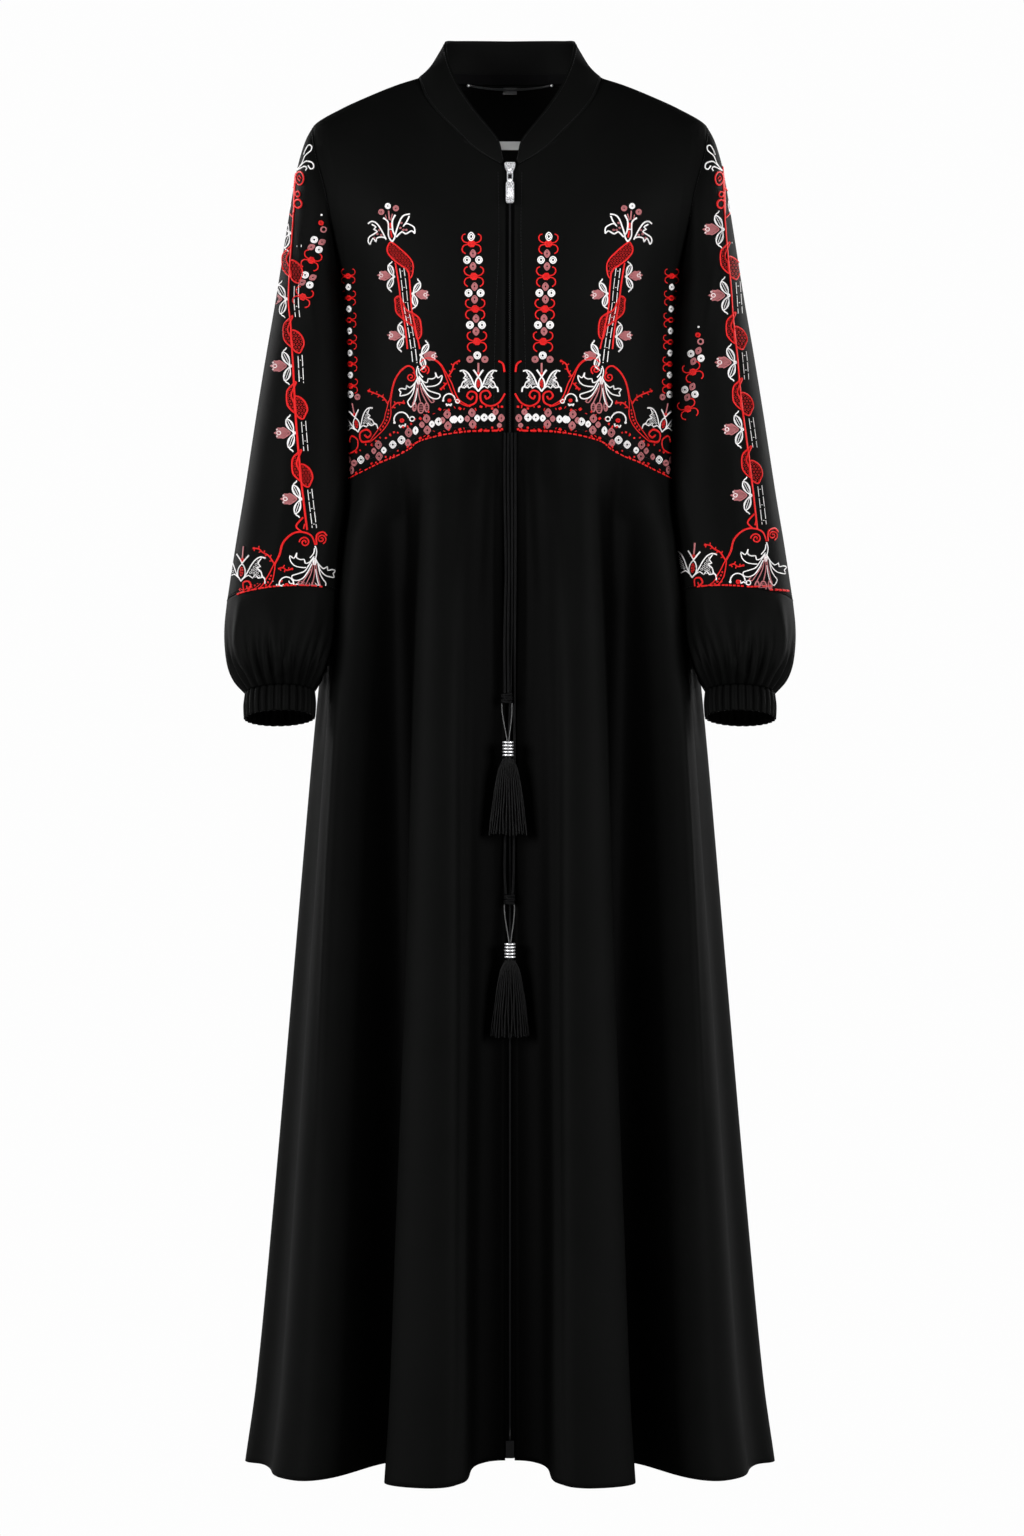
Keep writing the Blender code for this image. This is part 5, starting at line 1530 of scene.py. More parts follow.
def double_line(points, widths):
    """Two red lines either side of a smooth one, as far apart as the widths say, with dots between."""
    path = flowing(points)
    spread = np.interp(np.linspace(0, 1, len(path)), np.linspace(0, 1, len(widths)), widths)
    sides = ([], [])
    out = []
    for k, spot in enumerate(path):
        run = (path[min(k + 1, len(path) - 1)] - path[max(k - 1, 0)]).normalized()
        aside = Vector((-run.y, run.x)) * spread[k] / 2
        sides[0].append(spot + aside)
        sides[1].append(spot - aside)
        if spread[k] > 4 and k % 2:
            out += oval("red", 0.7, 0.7, spot.x, spot.y, 0.9)
    return out + [Stroke("red", DOUBLE_THICK, side) for side in sides]


def thorny(*points):
    """A short branch with thorns and a budded tip."""
    path = flowing(points)
    out = [Stroke("red", 1.3, path)]
    side = 1
    for k in range(1, len(path) - 1, 2):
        run = (path[k + 1] - path[k - 1]).normalized()
        aside = Vector((-run.y, run.x)) * THORN_LONG * side
        side = -side
        out.append(Stroke("red", 1, [path[k], path[k] + aside + run]))
    return out + dot("red", 1.1, *path[-1])


def ladder(points):
    """Two thin white lines with rungs, as on the core of a bound stem."""
    path = flowing(points)
    out = []
    for side in (-1, 1):
        for k in range(len(path) - 1):
            step = path[k + 1] - path[k]
            start = path[k] + Vector((side * LADDER_APART / 2, 0))
            if (k + (side > 0)) % LADDER_GAP_EVERY:
                out.append(Stroke("white", LADDER_THICK, [start, start + step * 0.97]))
    for k in range(3, len(path) - 2, LADDER_RUNG_EVERY):
        out += line("white", path[k] + Vector((-0.7, 0)), path[k] + Vector((0.7, 0)), thick=0.5)
    return out


WRAP_LEFT = [(1, -19), (-3.6, -15.4), (-8, -10), (-8.4, 0), (-6.6, 6), (0.4, 12), (-1, 2), (-4, -6)]
WRAP_RIGHT = [(-0.4, -4), (5, -3.4), (9.6, 1), (12, 8), (10, 14), (7.4, 18), (2, 15), (-0.6, 8)]


def ribbon_wrap():
    """A red ribbon bound once round the stem, worked as two webbed loops."""
    out = webbed("red", WRAP_LEFT) + webbed("red", WRAP_RIGHT)
    return out + [Stroke("red", 1.5, flowing(side, closed=True)) for side in (WRAP_LEFT, WRAP_RIGHT)]


def curl_motif():
    """A small white arch over a red dot, with beads at its feet."""
    out = oval("white", 7.4, 7.8, 0, 0, 1.2, start=pi, end=2 * pi)
    out += dot("white", 1.1, -7.4, 0.8) + dot("red", 2.1, 0.4, 0.6)
    out += oval("white", 2.4, 2.2, 10.6, 1.6, 1.1)
    return out + line("white", (-3.4, 4.4), (-2.8, 7), (-0.4, 5.6), (2, 7), (2.8, 4.4), thick=1.4)


def beaded(points, pitch):
    """A row of short red stitches like beads along a line."""
    path = flowing(points)
    out = []
    gone = 0.0
    for start, end in zip(path, path[1:]):
        gone += (end - start).length
        if gone >= pitch:
            gone -= pitch
            run = (end - start).normalized() * pitch * 0.36
            out.append(Stroke("red", 1.9, [end - run, end + run]))
    return out


def band_flower():
    """Four diamonds in a cross: rose above and below, smaller ones at the sides."""
    out = petal("rose", 3.7, 4.6, 0, -5.8, 1.5) + petal("rose", 3.7, 4.6, 0, 5.8, 1.5)
    return out + petal("rose", 2.6, 3.2, -5, 0, 1.5) + petal("white", 2.8, 3.4, 5, 0, 1.4)


# The vine on each sleeve: a red stem bound with ribbon, flowers to one side, and scrolls at its foot.
# The same pattern runs on round the back of the arm.
Vine = namedtuple("Vine", "side root_x root_drop stem cap_flip chain")
RIGHT_STEM = [(-213.6, 90.7), (-216.5, 140), (-221, 213), (-219, 245), (-217, 282), (-214, 340)]
RIGHT_STEM += [(-209, 398), (-203, 450)]
LEFT_STEM = [(212.5, 91), (214, 130), (216.7, 166.6), (220, 200), (223, 240), (227, 277), (231, 320)]
LEFT_STEM += [(240, 388), (247, 449)]
RIGHT_CHAIN = [(-189, 143), (-193.4, 164.7), (-198.6, 180.4), (-202.5, 200), (-207, 217)]
LEFT_CHAIN = [(188, 255), (186, 276), (183, 292), (180, 312), (178, 329)]
VINES = [
    Vine("right", -195, 466, RIGHT_STEM, True, RIGHT_CHAIN),
    Vine("left", 256.2, 462.4, LEFT_STEM, False, LEFT_CHAIN),
]
JOINTS = [-313, -247, -180, -113, -47]
WRAPS = [-281, -211, -145, -77]


def cap_spray():
    """The start of the vine at the shoulder: a white leaf flower, a scroll and two small loops."""
    out = line("red", (-9, -37), (-5.2, -24), (-1.2, -13), (0, 0), thick=2)
    flower = [
        [(0, 0), (-5.6, -7), (-9, -15), (-14.5, -20), (-15.3, -24.4), (-12.4, -25.6), (-9.4, -21)]
        + [(-7.6, -16)],
        [(-1, -1), (-7, -7.6), (-11, -9.6), (-16.4, -7.4), (-17.2, -3), (-14.4, -1.6), (-12, -5)],
        [(-1, -0.6), (-8.6, -4.4), (-10.6, -2), (-9.4, 0)],
    ]
    out += lines("white", flower, 1.2)
    out += oval("red", 3.9, 6.6, -3.6, 7.6, 1.6)
    out += line("red", (-5, 8), (-3, 5), (-1.6, 8), (-4, 10), thick=1.2)
    out += line("red", (0, 0), (1.4, 14), (1.8, 30), (2, 42), thick=2)
    out += oval("red", 2.2, 2.8, -1.6, 23.4, 1.5) + oval("red", 3.6, 4.2, -2, 33, 1.9)
    out += line("white", (3.8, 15.6), (6, 24), (5.2, 34), (7.4, 43), thick=1.5)
    return out + line("red", (2, 16), (8.6, 28), (8, 40), (3, 47), thick=1.7)


def vine_foot():
    """What the vine ends in, from the root of its fan flower: scrolls, branches, spirals and wings."""
    scroll = [(0, -1), (-4, -10.5), (-14, -14), (-23.4, -11.7), (-32, -3), (-35.5, 9), (-40.4, 18.6)]
    low = [(-40.4, 18.6), (-45.2, 33), (-52.5, 43), (-64.6, 49), (-70.7, 45.3)]
    spiral = [(-70.7, 45.3), (-71.3, 36.8), (-66, 35.4), (-63.6, 40.4), (-66.6, 43.4), (-68, 40)]
    out = moved(fan_flower(), 0, 0, flip=True, size=1.05) + double_line(scroll, [0.3, 0.8, 1, 1])
    out += double_line(low, [1, 6.4, 4.6, 0.8]) + line("red", *spiral, thick=1.6)
    out += thorny((-40, 19), (-46, 10), (-52, 6.6), (-56, 3), (-61, 2.4))
    out += thorny((-37, 23), (-32, 21.6), (-28.5, 24.3), (-23, 23))
    out += moved(curl(5.4, 1.6, 1.4), -10.4, -3.7, flip=True)
    out += moved(curl(5, 1.6, 1.4), 6.2, -7, turn=1.2)
    out += line("red", (1.2, -1.2), (1.8, -11), (8, -14), (11.5, -10.3), thick=1.8)
    out += line("red", (-12, -28.5), (-18.8, -20), (-14, -14.5), thick=1.6)
    out += line("red", (-10.3, -22), (-11.5, -17), thick=1.4)
    out += moved(winged_flower(), -73.9, 35.2, size=1.2, turn=0.08) + moved(curl_motif(), -28.5, 38.8)
    hem_beads = [(-76, 58.4), (-71, 56.4), (-52.7, 52), (-11.5, 48.5), (8, 47.3), (26, 49)]
    return out + beaded(hem_beads, pitch=3.9)


def inner_chain(spots):
    """The short chain of flowers and curls on the body side of the sleeve."""
    out = []
    first = dot("red", 2.4) + oval("rose", 2.6, 2.6, 2.6, 6.6, 1.4) + dot("white", 0.8, 0.6, -8)
    for number, (x, drop) in enumerate(spots):
        if number == 0:
            out += moved(first, x, drop)
        else:
            motif = moved(four_petals(), 0, 0, turn=pi / 4) if number % 2 else curled_dot()
            out += moved(motif, x, drop, turn=0.35 if x < 0 else -0.35, size=0.92)
    return out


def vine_strokes(vine):
    """Everything on one sleeve, as sighted from the front."""
    stem = flowing(vine.stem)
    out = [Stroke("red", 1.7, stem)]
    drops = [spot.y for spot in stem]

    def on_stem(drop):
        """How far across the stem is at a drop."""
        return float(np.interp(drop, drops, [spot.x for spot in stem]))

    for joint in JOINTS:
        drop = vine.root_drop + joint
        out += moved(side_flower(), on_stem(drop) - 2.6, drop)
    for wrap in WRAPS:
        drop = vine.root_drop + wrap
        out += moved(ribbon_wrap(), on_stem(drop) + 0.5, drop)
    for start, end in zip([WRAPS[0] - 40] + WRAPS, WRAPS + [0]):
        top, foot = vine.root_drop + start + 20, vine.root_drop + end - 18
        out += ladder([(on_stem(drop) + 7.5, drop) for drop in np.linspace(top, foot, 4)])
    out += moved(cap_spray(), *vine.stem[0], flip=vine.cap_flip)
    return out + moved(vine_foot(), vine.root_x, vine.root_drop) + inner_chain(vine.chain)


# The yoke's embroidery, given for the wearer's right front and mirrored on the left.
COLUMN_LEFT = [(-114.5, 183), (-111, 205), (-108.5, 225), (-105, 245), (-102.4, 269)]
COLUMN_RIGHT = [(-101, 192), (-99.5, 210), (-98, 230), (-94, 250), (-90, 269)]
YOKE_JOINTS = [Spot(-116, 196.7), Spot(-97, 213.6), Spot(-106, 256.7), Spot(-89, 275)]
FRONT_CHAIN = [(-38.4, 163.7), (-36.1, 196.5), (-34.8, 229), (-33.1, 261.5)]
CHAIN_FLOWERS = [(-37, 180), (-35.4, 213), (-34, 245)]
Diamond = namedtuple("Diamond", "x drop thread half_width half_height")
BAND_FLOWERS = [Spot(-37.7, 338.5), Spot(-62.4, 340), Spot(-83, 344.4), Spot(-131, 370.6)]
BAND_DIAMONDS = [
    Diamond(-8.7, 338.1, "rose", 3.2, 4.2),
    Diamond(-14.4, 331.9, "rose", 2.8, 3.4),
    Diamond(-10.6, 345.4, "rose", 2.4, 2.4),
    Diamond(-18.1, 337.5, "white", 3.9, 4.2),
    Diamond(-25.8, 337.5, "white", 3.7, 4),
    Diamond(-49.4, 339.2, "white", 3.1, 4),
    Diamond(-55.4, 339.4, "white", 3.3, 3.9),
    Diamond(-71.4, 341.6, "white", 3.9, 4.2),
    Diamond(-94.4, 350.6, "white", 2.8, 4.4),
    Diamond(-101.2, 352.5, "rose", 3.9, 5),
    Diamond(-101.9, 363, "rose", 3, 4),
    Diamond(-108.4, 360, "white", 4.1, 4.4),
    Diamond(-117, 364.6, "white", 3.8, 4.2),
    Diamond(-142.4, 376.8, "rose", 2.4, 3.2),
    Diamond(-148.9, 379.8, "white", 3.7, 4.4),
    Diamond(-155.6, 383, "rose", 3.4, 3.4),
    Diamond(-158, 390, "rose", 2.4, 4.4),
    Diamond(-160.6, 379.6, "rose", 1.7, 4),
]
BAND_LINE = [(-6, 338), (-38, 338.5), (-62, 340), (-84, 345), (-101, 356), (-117, 364.6)]
BAND_LINE += [(-131, 370.6), (-158, 385)]
BEAD_LINE = [(-6.2, 350.6), (-32.5, 351), (-50, 352.3), (-67.5, 355), (-85, 359.4), (-93.7, 363.1)]
BEAD_LINE += [(-100, 368.6), (-112.5, 375.6), (-127.5, 381.8), (-143.7, 389.8), (-156.2, 396)]
BEAD_LINE += [(-162.5, 399.6), (-166.2, 402)]
YOKE_WRAPS = [
    [(-122.5, 168.8), (-121.2, 165), (-116.9, 163.1), (-98.7, 180), (-97.2, 192.5), (-100, 198)]
    + [(-102.5, 190), (-114.4, 181.3), (-121.2, 173.8)],
    [(-115, 218.8), (-111.2, 216.3), (-108.1, 220), (-103.7, 229.4), (-96.2, 233.8), (-90, 240)]
    + [(-88.7, 253.8), (-92.5, 258.8), (-96.2, 247.5), (-103.7, 241.3), (-113.1, 232.5), (-114.4, 222.5)],
]
SIDE_CHAIN = list(zip(np.linspace(-161.5, -159, 11), np.linspace(196, 306, 11)))
FRINGE_OUT = 10.2
FRINGE_WANDER = 1.6
FRINGE_LEAN = 1.3
FRINGE_LONG = 1.2
FRINGE_UNEVEN = 0.9
FRINGE_THICK = 2


def yoke_spray():
    """The flower on top of the bound column: three rings over a vase, between two ragged leaves."""
    out = petal("rose", 3, 3, -11, -30, 1) + petal("white", 3, 3, -4.4, -35.8, 1)
    out += petal("rose", 3, 3, 3.6, -33.6, 1)
    out += line("rose", (-6.8, -27), (-5.6, -21)) + line("rose", (-3.6, -31), (-2.8, -22), thick=1.3)
    out += line("rose", (0.2, -28), (-1.6, -21.5))
    out += line("white", (-9, -24), (-4.2, -19.4), (-3.6, -6), (0, 0), thick=1.4)
    out += line("white", (3, -27), (0, -20.6), (0.6, -11), (3, -6), (0, 0), thick=1.4)
    out += line("white", (-3.8, -12.7), (0.6, -12.7)) + line("red", (-1.8, -19), (-1.6, -14), thick=1.6)
    out += line("red", (-1.4, -11), (-0.4, -4.5), thick=1.6)
    leaves = [
        [(-6, -2.4), (-11, -12), (-15.8, -18.8), (-20.6, -20.6), (-24.2, -18.2)],
        [(-20.4, -17.5), (-16.2, -15), (-18.6, -12.6), (-15, -10.4), (-22.8, -5), (-24, -0.4)]
        + [(-22.2, 2.4)],
        [(-22.2, 2.4), (-19.2, -3.6), (-16.2, -0.2), (-15.6, -3.6), (-10.8, -5), (-7, -4)],
        [(3, -7.3), (5.4, -15), (8.5, -23), (12, -26.7), (17.6, -27.9)],
        [(17, -26), (14.6, -20.6), (11, -15.6), (14.4, -18.4), (21.8, -14.6), (22.4, -8.4)],
        [(22.4, -8.4), (19.4, -11), (13.2, -8), (9.6, -10.2), (4, -5)],
    ]
    out += lines("white", leaves, 1.3)
    for x, drop in ((-13, -12), (-15, -8), (-18, -4), (-11, -7), (8, -14), (11, -12), (14, -12), (9, -19)):
        out += oval("rose", 1, 0.8, x, drop, 0.8)
    return out


def yoke_strokes():
    """Everything on one front, as sighted from the front."""
    out = moved(yoke_spray(), -117.6, 162)
    out += [Stroke("red", 1.6, flowing(COLUMN_LEFT)), Stroke("red", 1.6, flowing(COLUMN_RIGHT))]
    middle = [((a[0] + b[0]) / 2 - 0.4, (a[1] + b[1]) / 2) for a, b in zip(COLUMN_LEFT, COLUMN_RIGHT)]
    out += ladder(middle + [(-95, 283)])
    for wrap in YOKE_WRAPS:
        out += [Stroke("red", 1.5, flowing(wrap, closed=True))] + webbed("red", wrap, pitch=3)
    for number, joint in enumerate(YOKE_JOINTS):
        out += moved(side_flower(), joint.x, joint.drop, size=0.82, flip=number % 2 == 1, turn=0.1)
    out += moved(petal("white", 3.7, 4.9, 0, 0, 1.2), -38.8, 156.7)
    for x, drop in FRONT_CHAIN:
        out += moved(curled_dot(), x, drop)
    for x, drop in CHAIN_FLOWERS:
        out += moved(four_petals(), x, drop)
    out += moved(three_rings(), -32.7, 279.4) + moved(winged_flower(), -31.6, 311.4, size=0.98)
    right = [(-90.3, 283), (-85, 278.6), (-78, 278.6), (-69, 285), (-61, 301), (-53, 319), (-42, 326)]
    out += double_line(right, [0.3, 0.8, 1, 3.4, 2.6, 1])
    spiral = [(-42, 326), (-34.4, 322.4), (-33.6, 314), (-39.6, 311.4), (-43, 316), (-39, 319.4)]
    out += line("red", *spiral, (-37, 316), thick=1.5)
    near = [(-5, 313.5), (-11, 322.6), (-20, 326), (-28.4, 321.6), (-29, 313), (-22.6, 310.6)]
    out += line("red", *near, (-19.4, 315.4), (-23.6, 319), (-25, 315.4), thick=1.5)
    left = [(-95.2, 293), (-97, 288), (-102.4, 286), (-110, 292), (-116, 303), (-120, 322), (-124, 342)]
    left.append((-139, 361))
    out += double_line(left, [0.3, 0.8, 0.7, 1, 5.6, 4.4, 1])
    spiral = [(-139, 361), (-148, 361.6), (-149.4, 353), (-142.6, 349.6), (-138.6, 354), (-142, 357.6)]
    out += line("red", *spiral, (-145, 355), thick=1.9)
    out += moved(curl(5, 1.5, 1.25), -99, 297, turn=2, flip=True)
    out += moved(curl(5, 1.5, 1.25), -85.6, 289.6, turn=1)
    out += thorny((-122, 324), (-126, 318), (-133, 314), (-141, 311))
    out += thorny((-118, 328), (-113, 323), (-106, 323))
    out += thorny((-62, 297), (-58, 291), (-56, 284), (-51, 281))
    out += thorny((-63, 303), (-69, 309)) + line("red", (-11.5, 281), (-7, 284), (-5.5, 292), thick=1.6)
    out += moved(fan_flower(), -92, 286)
    out += moved(winged_flower(), -151.6, 352, turn=-0.2)
    out += moved(three_rings(), -159, 318, turn=-0.15, size=0.9)
    side_curl = [(-167, 362), (-162, 373), (-153, 369), (-152, 360), (-158, 356), (-160, 362)]
    out += line("red", *side_curl, thick=1.5)
    out += moved(curl_motif(), -108.4, 340, turn=-0.25) + moved(curl_motif(), -60.8, 320, size=0.8)
    for number, (x, drop) in enumerate(SIDE_CHAIN):
        motif = petal("white", 3.8, 4.6, 0, 0, 1.2) if number % 2 else curled_dot()
        out += moved(motif, x, drop, size=0.72)
    for flower in BAND_FLOWERS:
        out += moved(band_flower(), flower.x, flower.drop, turn=-0.06)
    for x, drop, thread, half_width, half_height in BAND_DIAMONDS:
        out += moved(petal(thread, half_width, half_height, 0, 0, 1.4), x, drop)
    path = flowing(BAND_LINE)
    for number, spot in enumerate(path[2:-2:3]):
        for way in (-1, 1):
            out_to = (FRINGE_OUT + FRINGE_WANDER * sin(2.3 * number)) * way
            lean = FRINGE_LEAN * sin(1.7 * number)
            long = FRINGE_LONG + FRINGE_UNEVEN * cos(3.1 * number)
            foot = spot + Vector((lean, out_to + long * way))
            out += line("red", spot + Vector((0, out_to)), foot, thick=FRINGE_THICK + 0.5 * lean)
    return out + beaded(BEAD_LINE, pitch=2.7)


def sighted(spot, trees):
    """Where the sight line through a spot of the middle plane first meets these panels."""
    eye = EYE / MM
    aim = Vector((spot[0], 0, -spot[1])) - eye
    best = None
    for tree in trees:
        place, facing, _, distance = tree.ray_cast(eye, aim)
        if place and (best is None or distance < best[2]):
            best = (place, facing if facing.dot(aim) < 0 else -facing, distance)
    return best


def laid_on(strokes, names):
    """Strokes as lines of spots just proud of the cloth, cut where the cloth turns out of sight."""
    trees = [outside[name] for name in names]
    out = []
    for thread, thick, points in strokes:
        close = [Vector(points[0])]
        for start, end in zip(points, points[1:]):
            parts = max(1, int((end - start).length / LAID_STEP))
            close += [start.lerp(end, (part + 1) / parts) for part in range(parts)]
        run = []
        for spot in close + [None]:
            hit = sighted(spot, trees) if spot is not None else None
            if hit and not (run and (hit[0] - run[-1][0]).length > LONGEST_STITCH):
                run.append((hit[0], hit[1]))
                continue
            if len(run) > 1:
                out.append(Stroke(thread, thick, run))
            run = [(hit[0], hit[1])] if hit else []
    return out


def round_the_back(strokes, name):
    """The same strokes on the far side of a sleeve, mirrored through the middle of its rings."""
    drops, forward = [ring.outer_drop for ring in SLEEVE], [ring.forward for ring in SLEEVE]
    out = []
    for thread, thick, run in strokes:
        behind = []
        for place, _ in run:
            middle = -np.interp(-place.z, drops, forward)
            far_side = Vector((place.x, 2 * middle - place.y, place.z))
            found, facing, _, _ = outside[name].find_nearest(far_side)
            behind.append((found, facing if facing.y > 0 else -facing))
        out.append(Stroke(thread, thick, behind))
    return out


def embroidered(name, strokes):
    """One piece for each colour of thread on a panel."""
    for thread, material in THREADS.items():
        runs = [stroke for stroke in strokes if stroke.thread == thread]
        routes = [[place + facing * THREAD_LIFT for place, facing in stroke.points] for stroke in runs]
        thickness = [stroke.thick for stroke in runs]
        piece = thread_piece(
            f"{name}_{thread}", routes, THREAD_RADIUS, material, sides=0, thickness=thickness
        )


right_front = yoke_strokes()
for side, strokes in (("right", right_front), ("left", moved(right_front, 0, 0, flip=True))):
    embroidered(f"yoke_stitches_{side}", laid_on(strokes, [f"bodice_front_{side}", f"skirt_front_{side}"]))
for vine in VINES:
    name = f"sleeve_{vine.side}"
    seen = laid_on(vine_strokes(vine), [name])
    embroidered(f"sleeve_stitches_{vine.side}", seen + round_the_back(seen, name))

# Sewing: rows of black lockstitches along the zip's edges, the yoke seam, the hem, the collar, the
# armholes and the foot of each embroidered sleeve.
STITCH_LONG = 2.5
STITCH_EVERY = 3.6
STITCH_RADIUS = 0.24
STITCH_LIFT = 0.12
STITCH_BLACK = (0.0075, 0.0075, 0.008)
black_thread = yarn_material(
    "black_thread", STITCH_BLACK, braided, scale=900, bump=0.1, roughness=0.4, specular=0.12
)


def seam_rows(points, closed=False):
    """A grid of cloth points set just proud of the cloth, away from the piece's own axis."""
    normals = outward(points, closed)
    away = 1 if facing_out(points, normals) else -1
    return points + away * STITCH_LIFT * normals


def stitches(seams):
    """Short stitches, one after another, along rows of points."""
    routes = []
    for run in seams:
        gone = np.insert(np.cumsum(np.linalg.norm(np.diff(run, axis=0), axis=1)), 0, 0)
        for start in np.arange(1, gone[-1] - STITCH_LONG, STITCH_EVERY):
            ends = (start, start + STITCH_LONG)
            routes.append([[np.interp(place, gone, run[:, axis]) for axis in range(3)] for place in ends])
    return routes


skirt_seams = seam_rows(front_skirt)
bodice_seams = seam_rows(front_bodice)
sleeve_seams = seam_rows(sleeve, closed=True)
half_seams = [
    skirt_seams[-3],
    skirt_seams[2:, 1],
    bodice_seams[-2],
    bodice_seams[3:-2, 2],
    sleeve_seams[2],
    sleeve_seams[-1] * 0.6 + sleeve_seams[-2] * 0.4,
]
collar_seams = seam_rows(both_sides(half_collar))
back_seams = [seam_rows(back_skirt)[-3], seam_rows(both_sides(back_bodice))[-2]]
seams = back_seams + [collar_seams[1], collar_seams[-2]] + half_seams
seams += [mirrored(run) for run in half_seams]
seam_stitches = thread_piece("seam_stitches", stitches(seams), STITCH_RADIUS, black_thread, sides=0)

# Zip: black woven tapes behind the fronts' edges with a fine moulded chain between them, full length,
# closed by a short piece of the tape at its foot, and a silver slider whose link and ribbed pull tab
# hang at the collar end.
CHAIN_TOP = 95.4
CHAIN_BOTTOM = 1338.6
TOOTH_PITCH = 2.2
TOOTH_WIDE = 1.3
TOOTH_HIGH = 1.25
TOOTH_DEEP = 1.9
TOOTH_ASIDE = 0.4
TOOTH_BEVEL = 0.22
TOOTH_REACH = 2
CHAIN_PROUD = 0.2
PULL_HINGE = Vector((0, -92.3828, -102.296))
PULL_LEAN = -0.4857
TAB_FRONT = -0.8
TAB_TOP = 22.4
TAB_BOTTOM = 31.2
TAB_HALF_WIDTH = 2.2
TAB_RIBS = 6
TAB_RIB = 0.42
TAB_RIM_ASIDE = 0.3
TAPE_LEAST_SHADE = 0.6
FOOT_HALF_WIDTH = 9
FOOT_TOP = 1335
FOOT_BOTTOM = 1356
FOOT_BEHIND = 2.6
FOOT_WALL = 0.8


def moulded_finish(name, colour, roughness, specular):
    """A moulded finish: one colour with a faint cloud in its shade and its gloss."""
    made = bpy.data.materials.new(name)
    made.use_nodes = True
    nodes, links = made.node_tree.nodes, made.node_tree.links
    shader = nodes["Principled BSDF"]
    shader.inputs["Specular IOR Level"].default_value = specular
    place = nodes.new("ShaderNodeTexCoord")
    cloud = nodes.new("ShaderNodeTexNoise")
    cloud.inputs["Scale"].default_value = 900
    links.new(place.outputs["Object"], cloud.inputs["Vector"])
    shade = nodes.new("ShaderNodeMix")
    shade.data_type = "RGBA"
    shade.inputs["A"].default_value = (*[part * 0.75 for part in colour], 1)
    shade.inputs["B"].default_value = (*colour, 1)
    links.new(cloud.outputs["Fac"], shade.inputs["Factor"])
    links.new(shade.outputs["Result"], shader.inputs["Base Color"])
    dull = nodes.new("ShaderNodeMapRange")
    dull.inputs["To Min"].default_value = roughness * 0.85
    dull.inputs["To Max"].default_value = roughness * 1.15
    links.new(cloud.outputs["Fac"], dull.inputs["Value"])
    links.new(dull.outputs["Result"], shader.inputs["Roughness"])
    relief = nodes.new("ShaderNodeBump")
    relief.inputs["Distance"].default_value = 0.05 * MM
    links.new(cloud.outputs["Fac"], relief.inputs["Height"])
    links.new(relief.outputs["Normal"], shader.inputs["Normal"])
    return made


def finish_node(name, material):
    """Gives a CAD solid whose shape is right its real finish."""
    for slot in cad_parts[name].material_slots:
        slot.material = material


def tape_group():
    """A narrow woven tape: fine ribs along it, crossed by its weft."""
    group, start, end = surface_group("woven tape")
    waves = []
    for direction, share in (("X", 1), ("Z", 0.6)):
        scaled = group.nodes.new("ShaderNodeMath")
        scaled.operation = "MULTIPLY"
        scaled.inputs[1].default_value = share
        wave = group.nodes.new("ShaderNodeTexWave")
        wave.bands_direction = direction
        group.links.new(start.outputs["Scale"], scaled.inputs[0])
        group.links.new(scaled.outputs["Value"], wave.inputs["Scale"])
        group.links.new(start.outputs["Vector"], wave.inputs["Vector"])
        waves.append(wave)
    crossed(group, end, waves, TAPE_LEAST_SHADE)
    return group


def edge_front(drop):
    """How far forward the fronts' edges lie beside the chain."""
    if drop > YOKE_SEAM[0].drop:
        return cloth_front(FRONT_OPENING, drop)
    return float(body_point(body_turn(FRONT_OPENING, drop), drop)[1])


woven_tape = tape_group()
TAPE_BLACK = (0.002, 0.002, 0.002)
zip_tape = yarn_material(
    "zip_tape", TAPE_BLACK, woven_tape, scale=300, bump=0.15, roughness=0.7, specular=0.02
)
zip_teeth = moulded_finish("zip_teeth", (0.0075, 0.0075, 0.008), roughness=0.4, specular=0.12)
finish_node("zip_tape_left", zip_tape)
finish_node("zip_tape_right", zip_tape)
finish_node("zip_end", zip_teeth)
for name in ("zip_slider", "zip_link", "zip_pull_tab"):
    finish_node(name, silver_metal)

shape = bmesh.new()
tooth = bmesh.ops.create_cube(shape, size=1)["verts"]
bmesh.ops.scale(shape, verts=tooth, vec=Vector((TOOTH_WIDE, TOOTH_DEEP, TOOTH_HIGH)))
bmesh.ops.bevel(
    shape,
    geom=[edge for edge in shape.edges if abs((edge.verts[0].co - edge.verts[1].co).y) < TOOTH_DEEP / 2],
    offset=TOOTH_BEVEL,
    affect="EDGES",
    segments=1,
    profile=0.5,
    material=-1,
)
tooth = shape.verts[:] + shape.edges[:] + shape.faces[:]
teeth = int((CHAIN_BOTTOM - CHAIN_TOP) / TOOTH_PITCH * 2)
for number in range(teeth + 1):
    drop = CHAIN_TOP + TOOTH_HIGH / 2 + number * TOOTH_PITCH / 2
    side = -1 if number % 2 else 1
    rise = edge_front(drop + TOOTH_REACH) - edge_front(drop - TOOTH_REACH)
    copy = bmesh.ops.duplicate(shape, geom=tooth)["geom"]
    corners = [part for part in copy if isinstance(part, bmesh.types.BMVert)]
    bmesh.ops.rotate(shape, verts=corners, matrix=Matrix.Rotation(atan2(rise, 2 * TOOTH_REACH), 3, "X"))
    y = edge_front(drop) - CHAIN_PROUD + TOOTH_DEEP / 2
    bmesh.ops.translate(shape, verts=corners, vec=Vector((side * TOOTH_ASIDE, y, -drop)))
bmesh.ops.delete(shape, geom=[part for part in tooth if isinstance(part, bmesh.types.BMVert)])
chain = mesh_piece("zip_teeth_chain", shape, zip_teeth)
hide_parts("zip_chain")

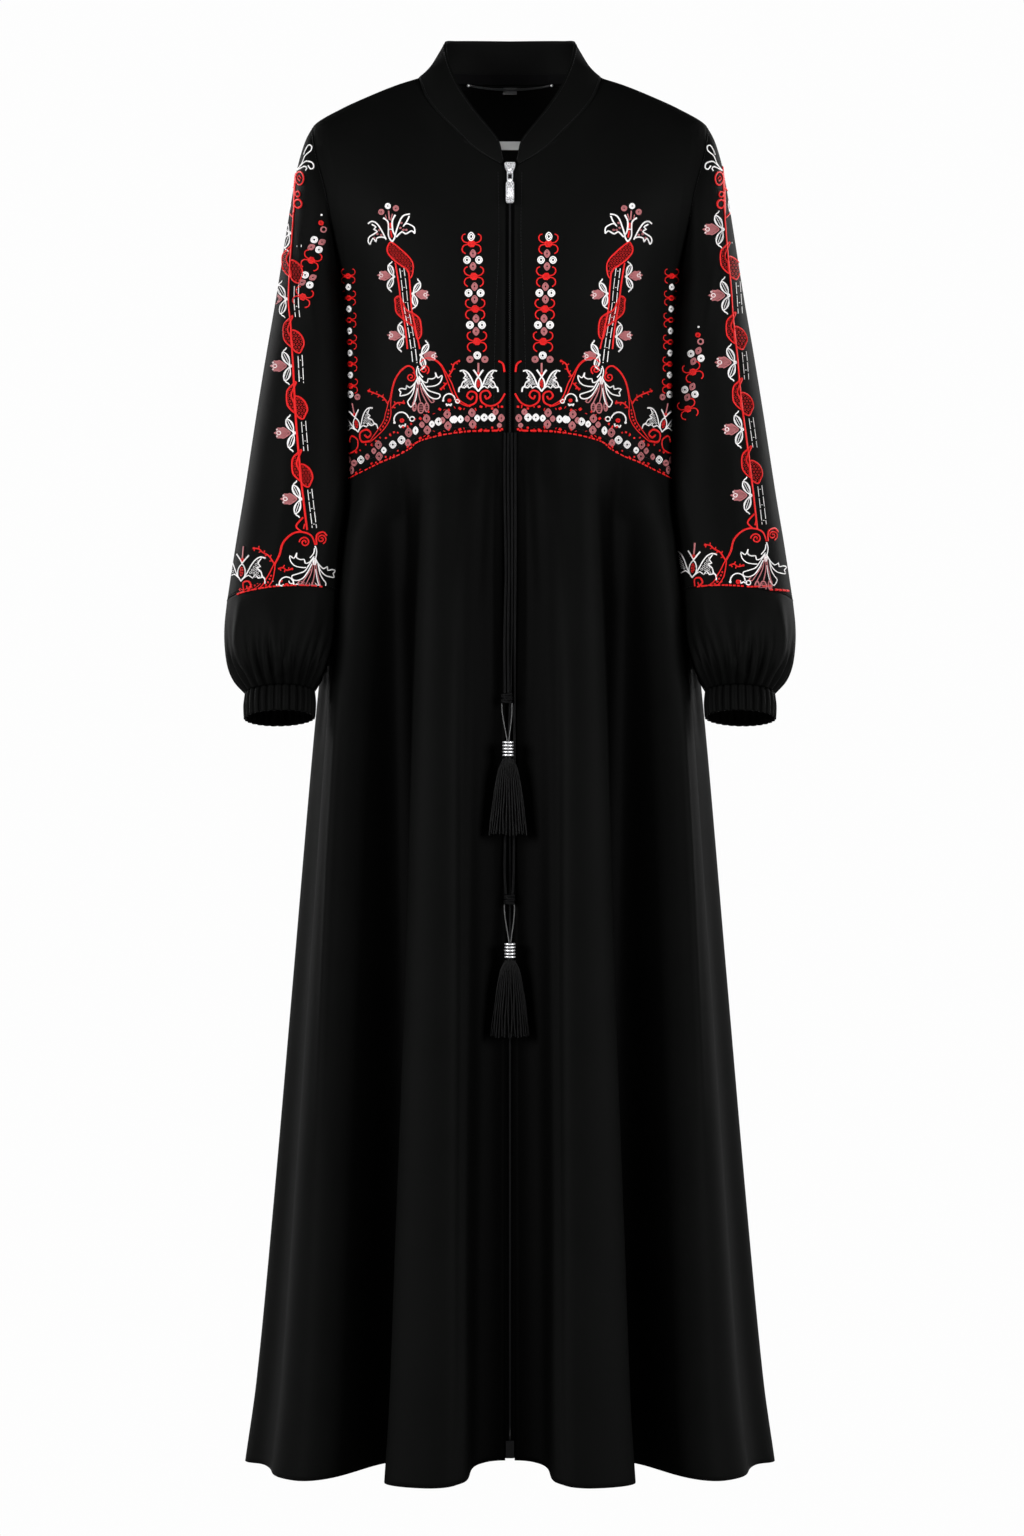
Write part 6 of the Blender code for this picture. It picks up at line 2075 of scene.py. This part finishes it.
shape = bmesh.new()
foot = bmesh.ops.create_cube(shape, size=1)["verts"]
bmesh.ops.scale(shape, verts=foot, vec=Vector((2 * FOOT_HALF_WIDTH, FOOT_WALL, FOOT_BOTTOM - FOOT_TOP)))
rise = edge_front(FOOT_BOTTOM) - edge_front(FOOT_TOP)
bmesh.ops.rotate(shape, verts=foot, matrix=Matrix.Rotation(atan2(rise, FOOT_BOTTOM - FOOT_TOP), 3, "X"))
foot_middle = (FOOT_TOP + FOOT_BOTTOM) / 2
bmesh.ops.translate(shape, verts=foot, vec=Vector((0, edge_front(foot_middle) + FOOT_BEHIND, -foot_middle)))
tape_foot = mesh_piece("zip_tape_foot", shape, zip_tape)

hang = Matrix.Translation(PULL_HINGE) @ Matrix.Rotation(PULL_LEAN, 4, "X")
ribs = []
for number in range(TAB_RIBS):
    drop = TAB_TOP + (TAB_BOTTOM - TAB_TOP) * (number + 0.5) / TAB_RIBS
    ribs.append([hang @ Vector((side * TAB_HALF_WIDTH, TAB_FRONT, -drop)) for side in (-1, 1)])
tab_ribs = thread_piece("pull_tab_ribs", ribs, TAB_RIB, silver_metal, sides=2, body="pull_tab")
rim = []
for x, drop in ((-1, TAB_TOP), (1, TAB_TOP), (1, TAB_BOTTOM), (-1, TAB_BOTTOM)):
    rim.append(hang @ Vector((x * (TAB_HALF_WIDTH + TAB_RIM_ASIDE), TAB_FRONT, -drop)))
tab_rim = thread_piece("pull_tab_rim", [rim], TAB_RIB, silver_metal, sides=2, closed=True, body="pull_tab")

# Neck trims: a black tape over the back neck seam, a satin hanger loop caught down with a bright
# bead at each end, a small bare label below it and a plain white strip lower down inside the back.
BEAD_RADIUS = 1.5
BEAD_PROUD = 0.6
Trim = namedtuple("Trim", "node finish colour weave scale bump roughness specular")
NECK_TRIMS = [
    Trim("neck_tape", "neck_twill", (0.0022, 0.0022, 0.0024), woven_tape, 420, 0.2, 0.6, 0.02),
    Trim("hanger_loop", "black_satin", (0.012, 0.012, 0.013), braided, 700, 0.1, 0.32, 0.3),
    Trim("neck_label", "label_satin", (0.01, 0.01, 0.011), woven_tape, 900, 0.05, 0.35, 0.25),
    Trim("white_strip", "white_woven", (0.8, 0.8, 0.8), woven_tape, 700, 0.1, 0.6, 0.2),
]
for node, *finish in NECK_TRIMS:
    finish_node(node, yarn_material(*finish))
low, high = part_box("hanger_loop")
shape = bmesh.new()
for end_x in (low[0], high[0]):
    bead = bmesh.ops.create_icosphere(shape, subdivisions=2, radius=BEAD_RADIUS)["verts"]
    middle = Vector((end_x / MM, low[1] / MM - BEAD_RADIUS * BEAD_PROUD, high[2] / MM - BEAD_RADIUS))
    bmesh.ops.translate(shape, verts=bead, vec=middle)
beads = mesh_piece("hanger_loop_beads", shape, silver_metal)
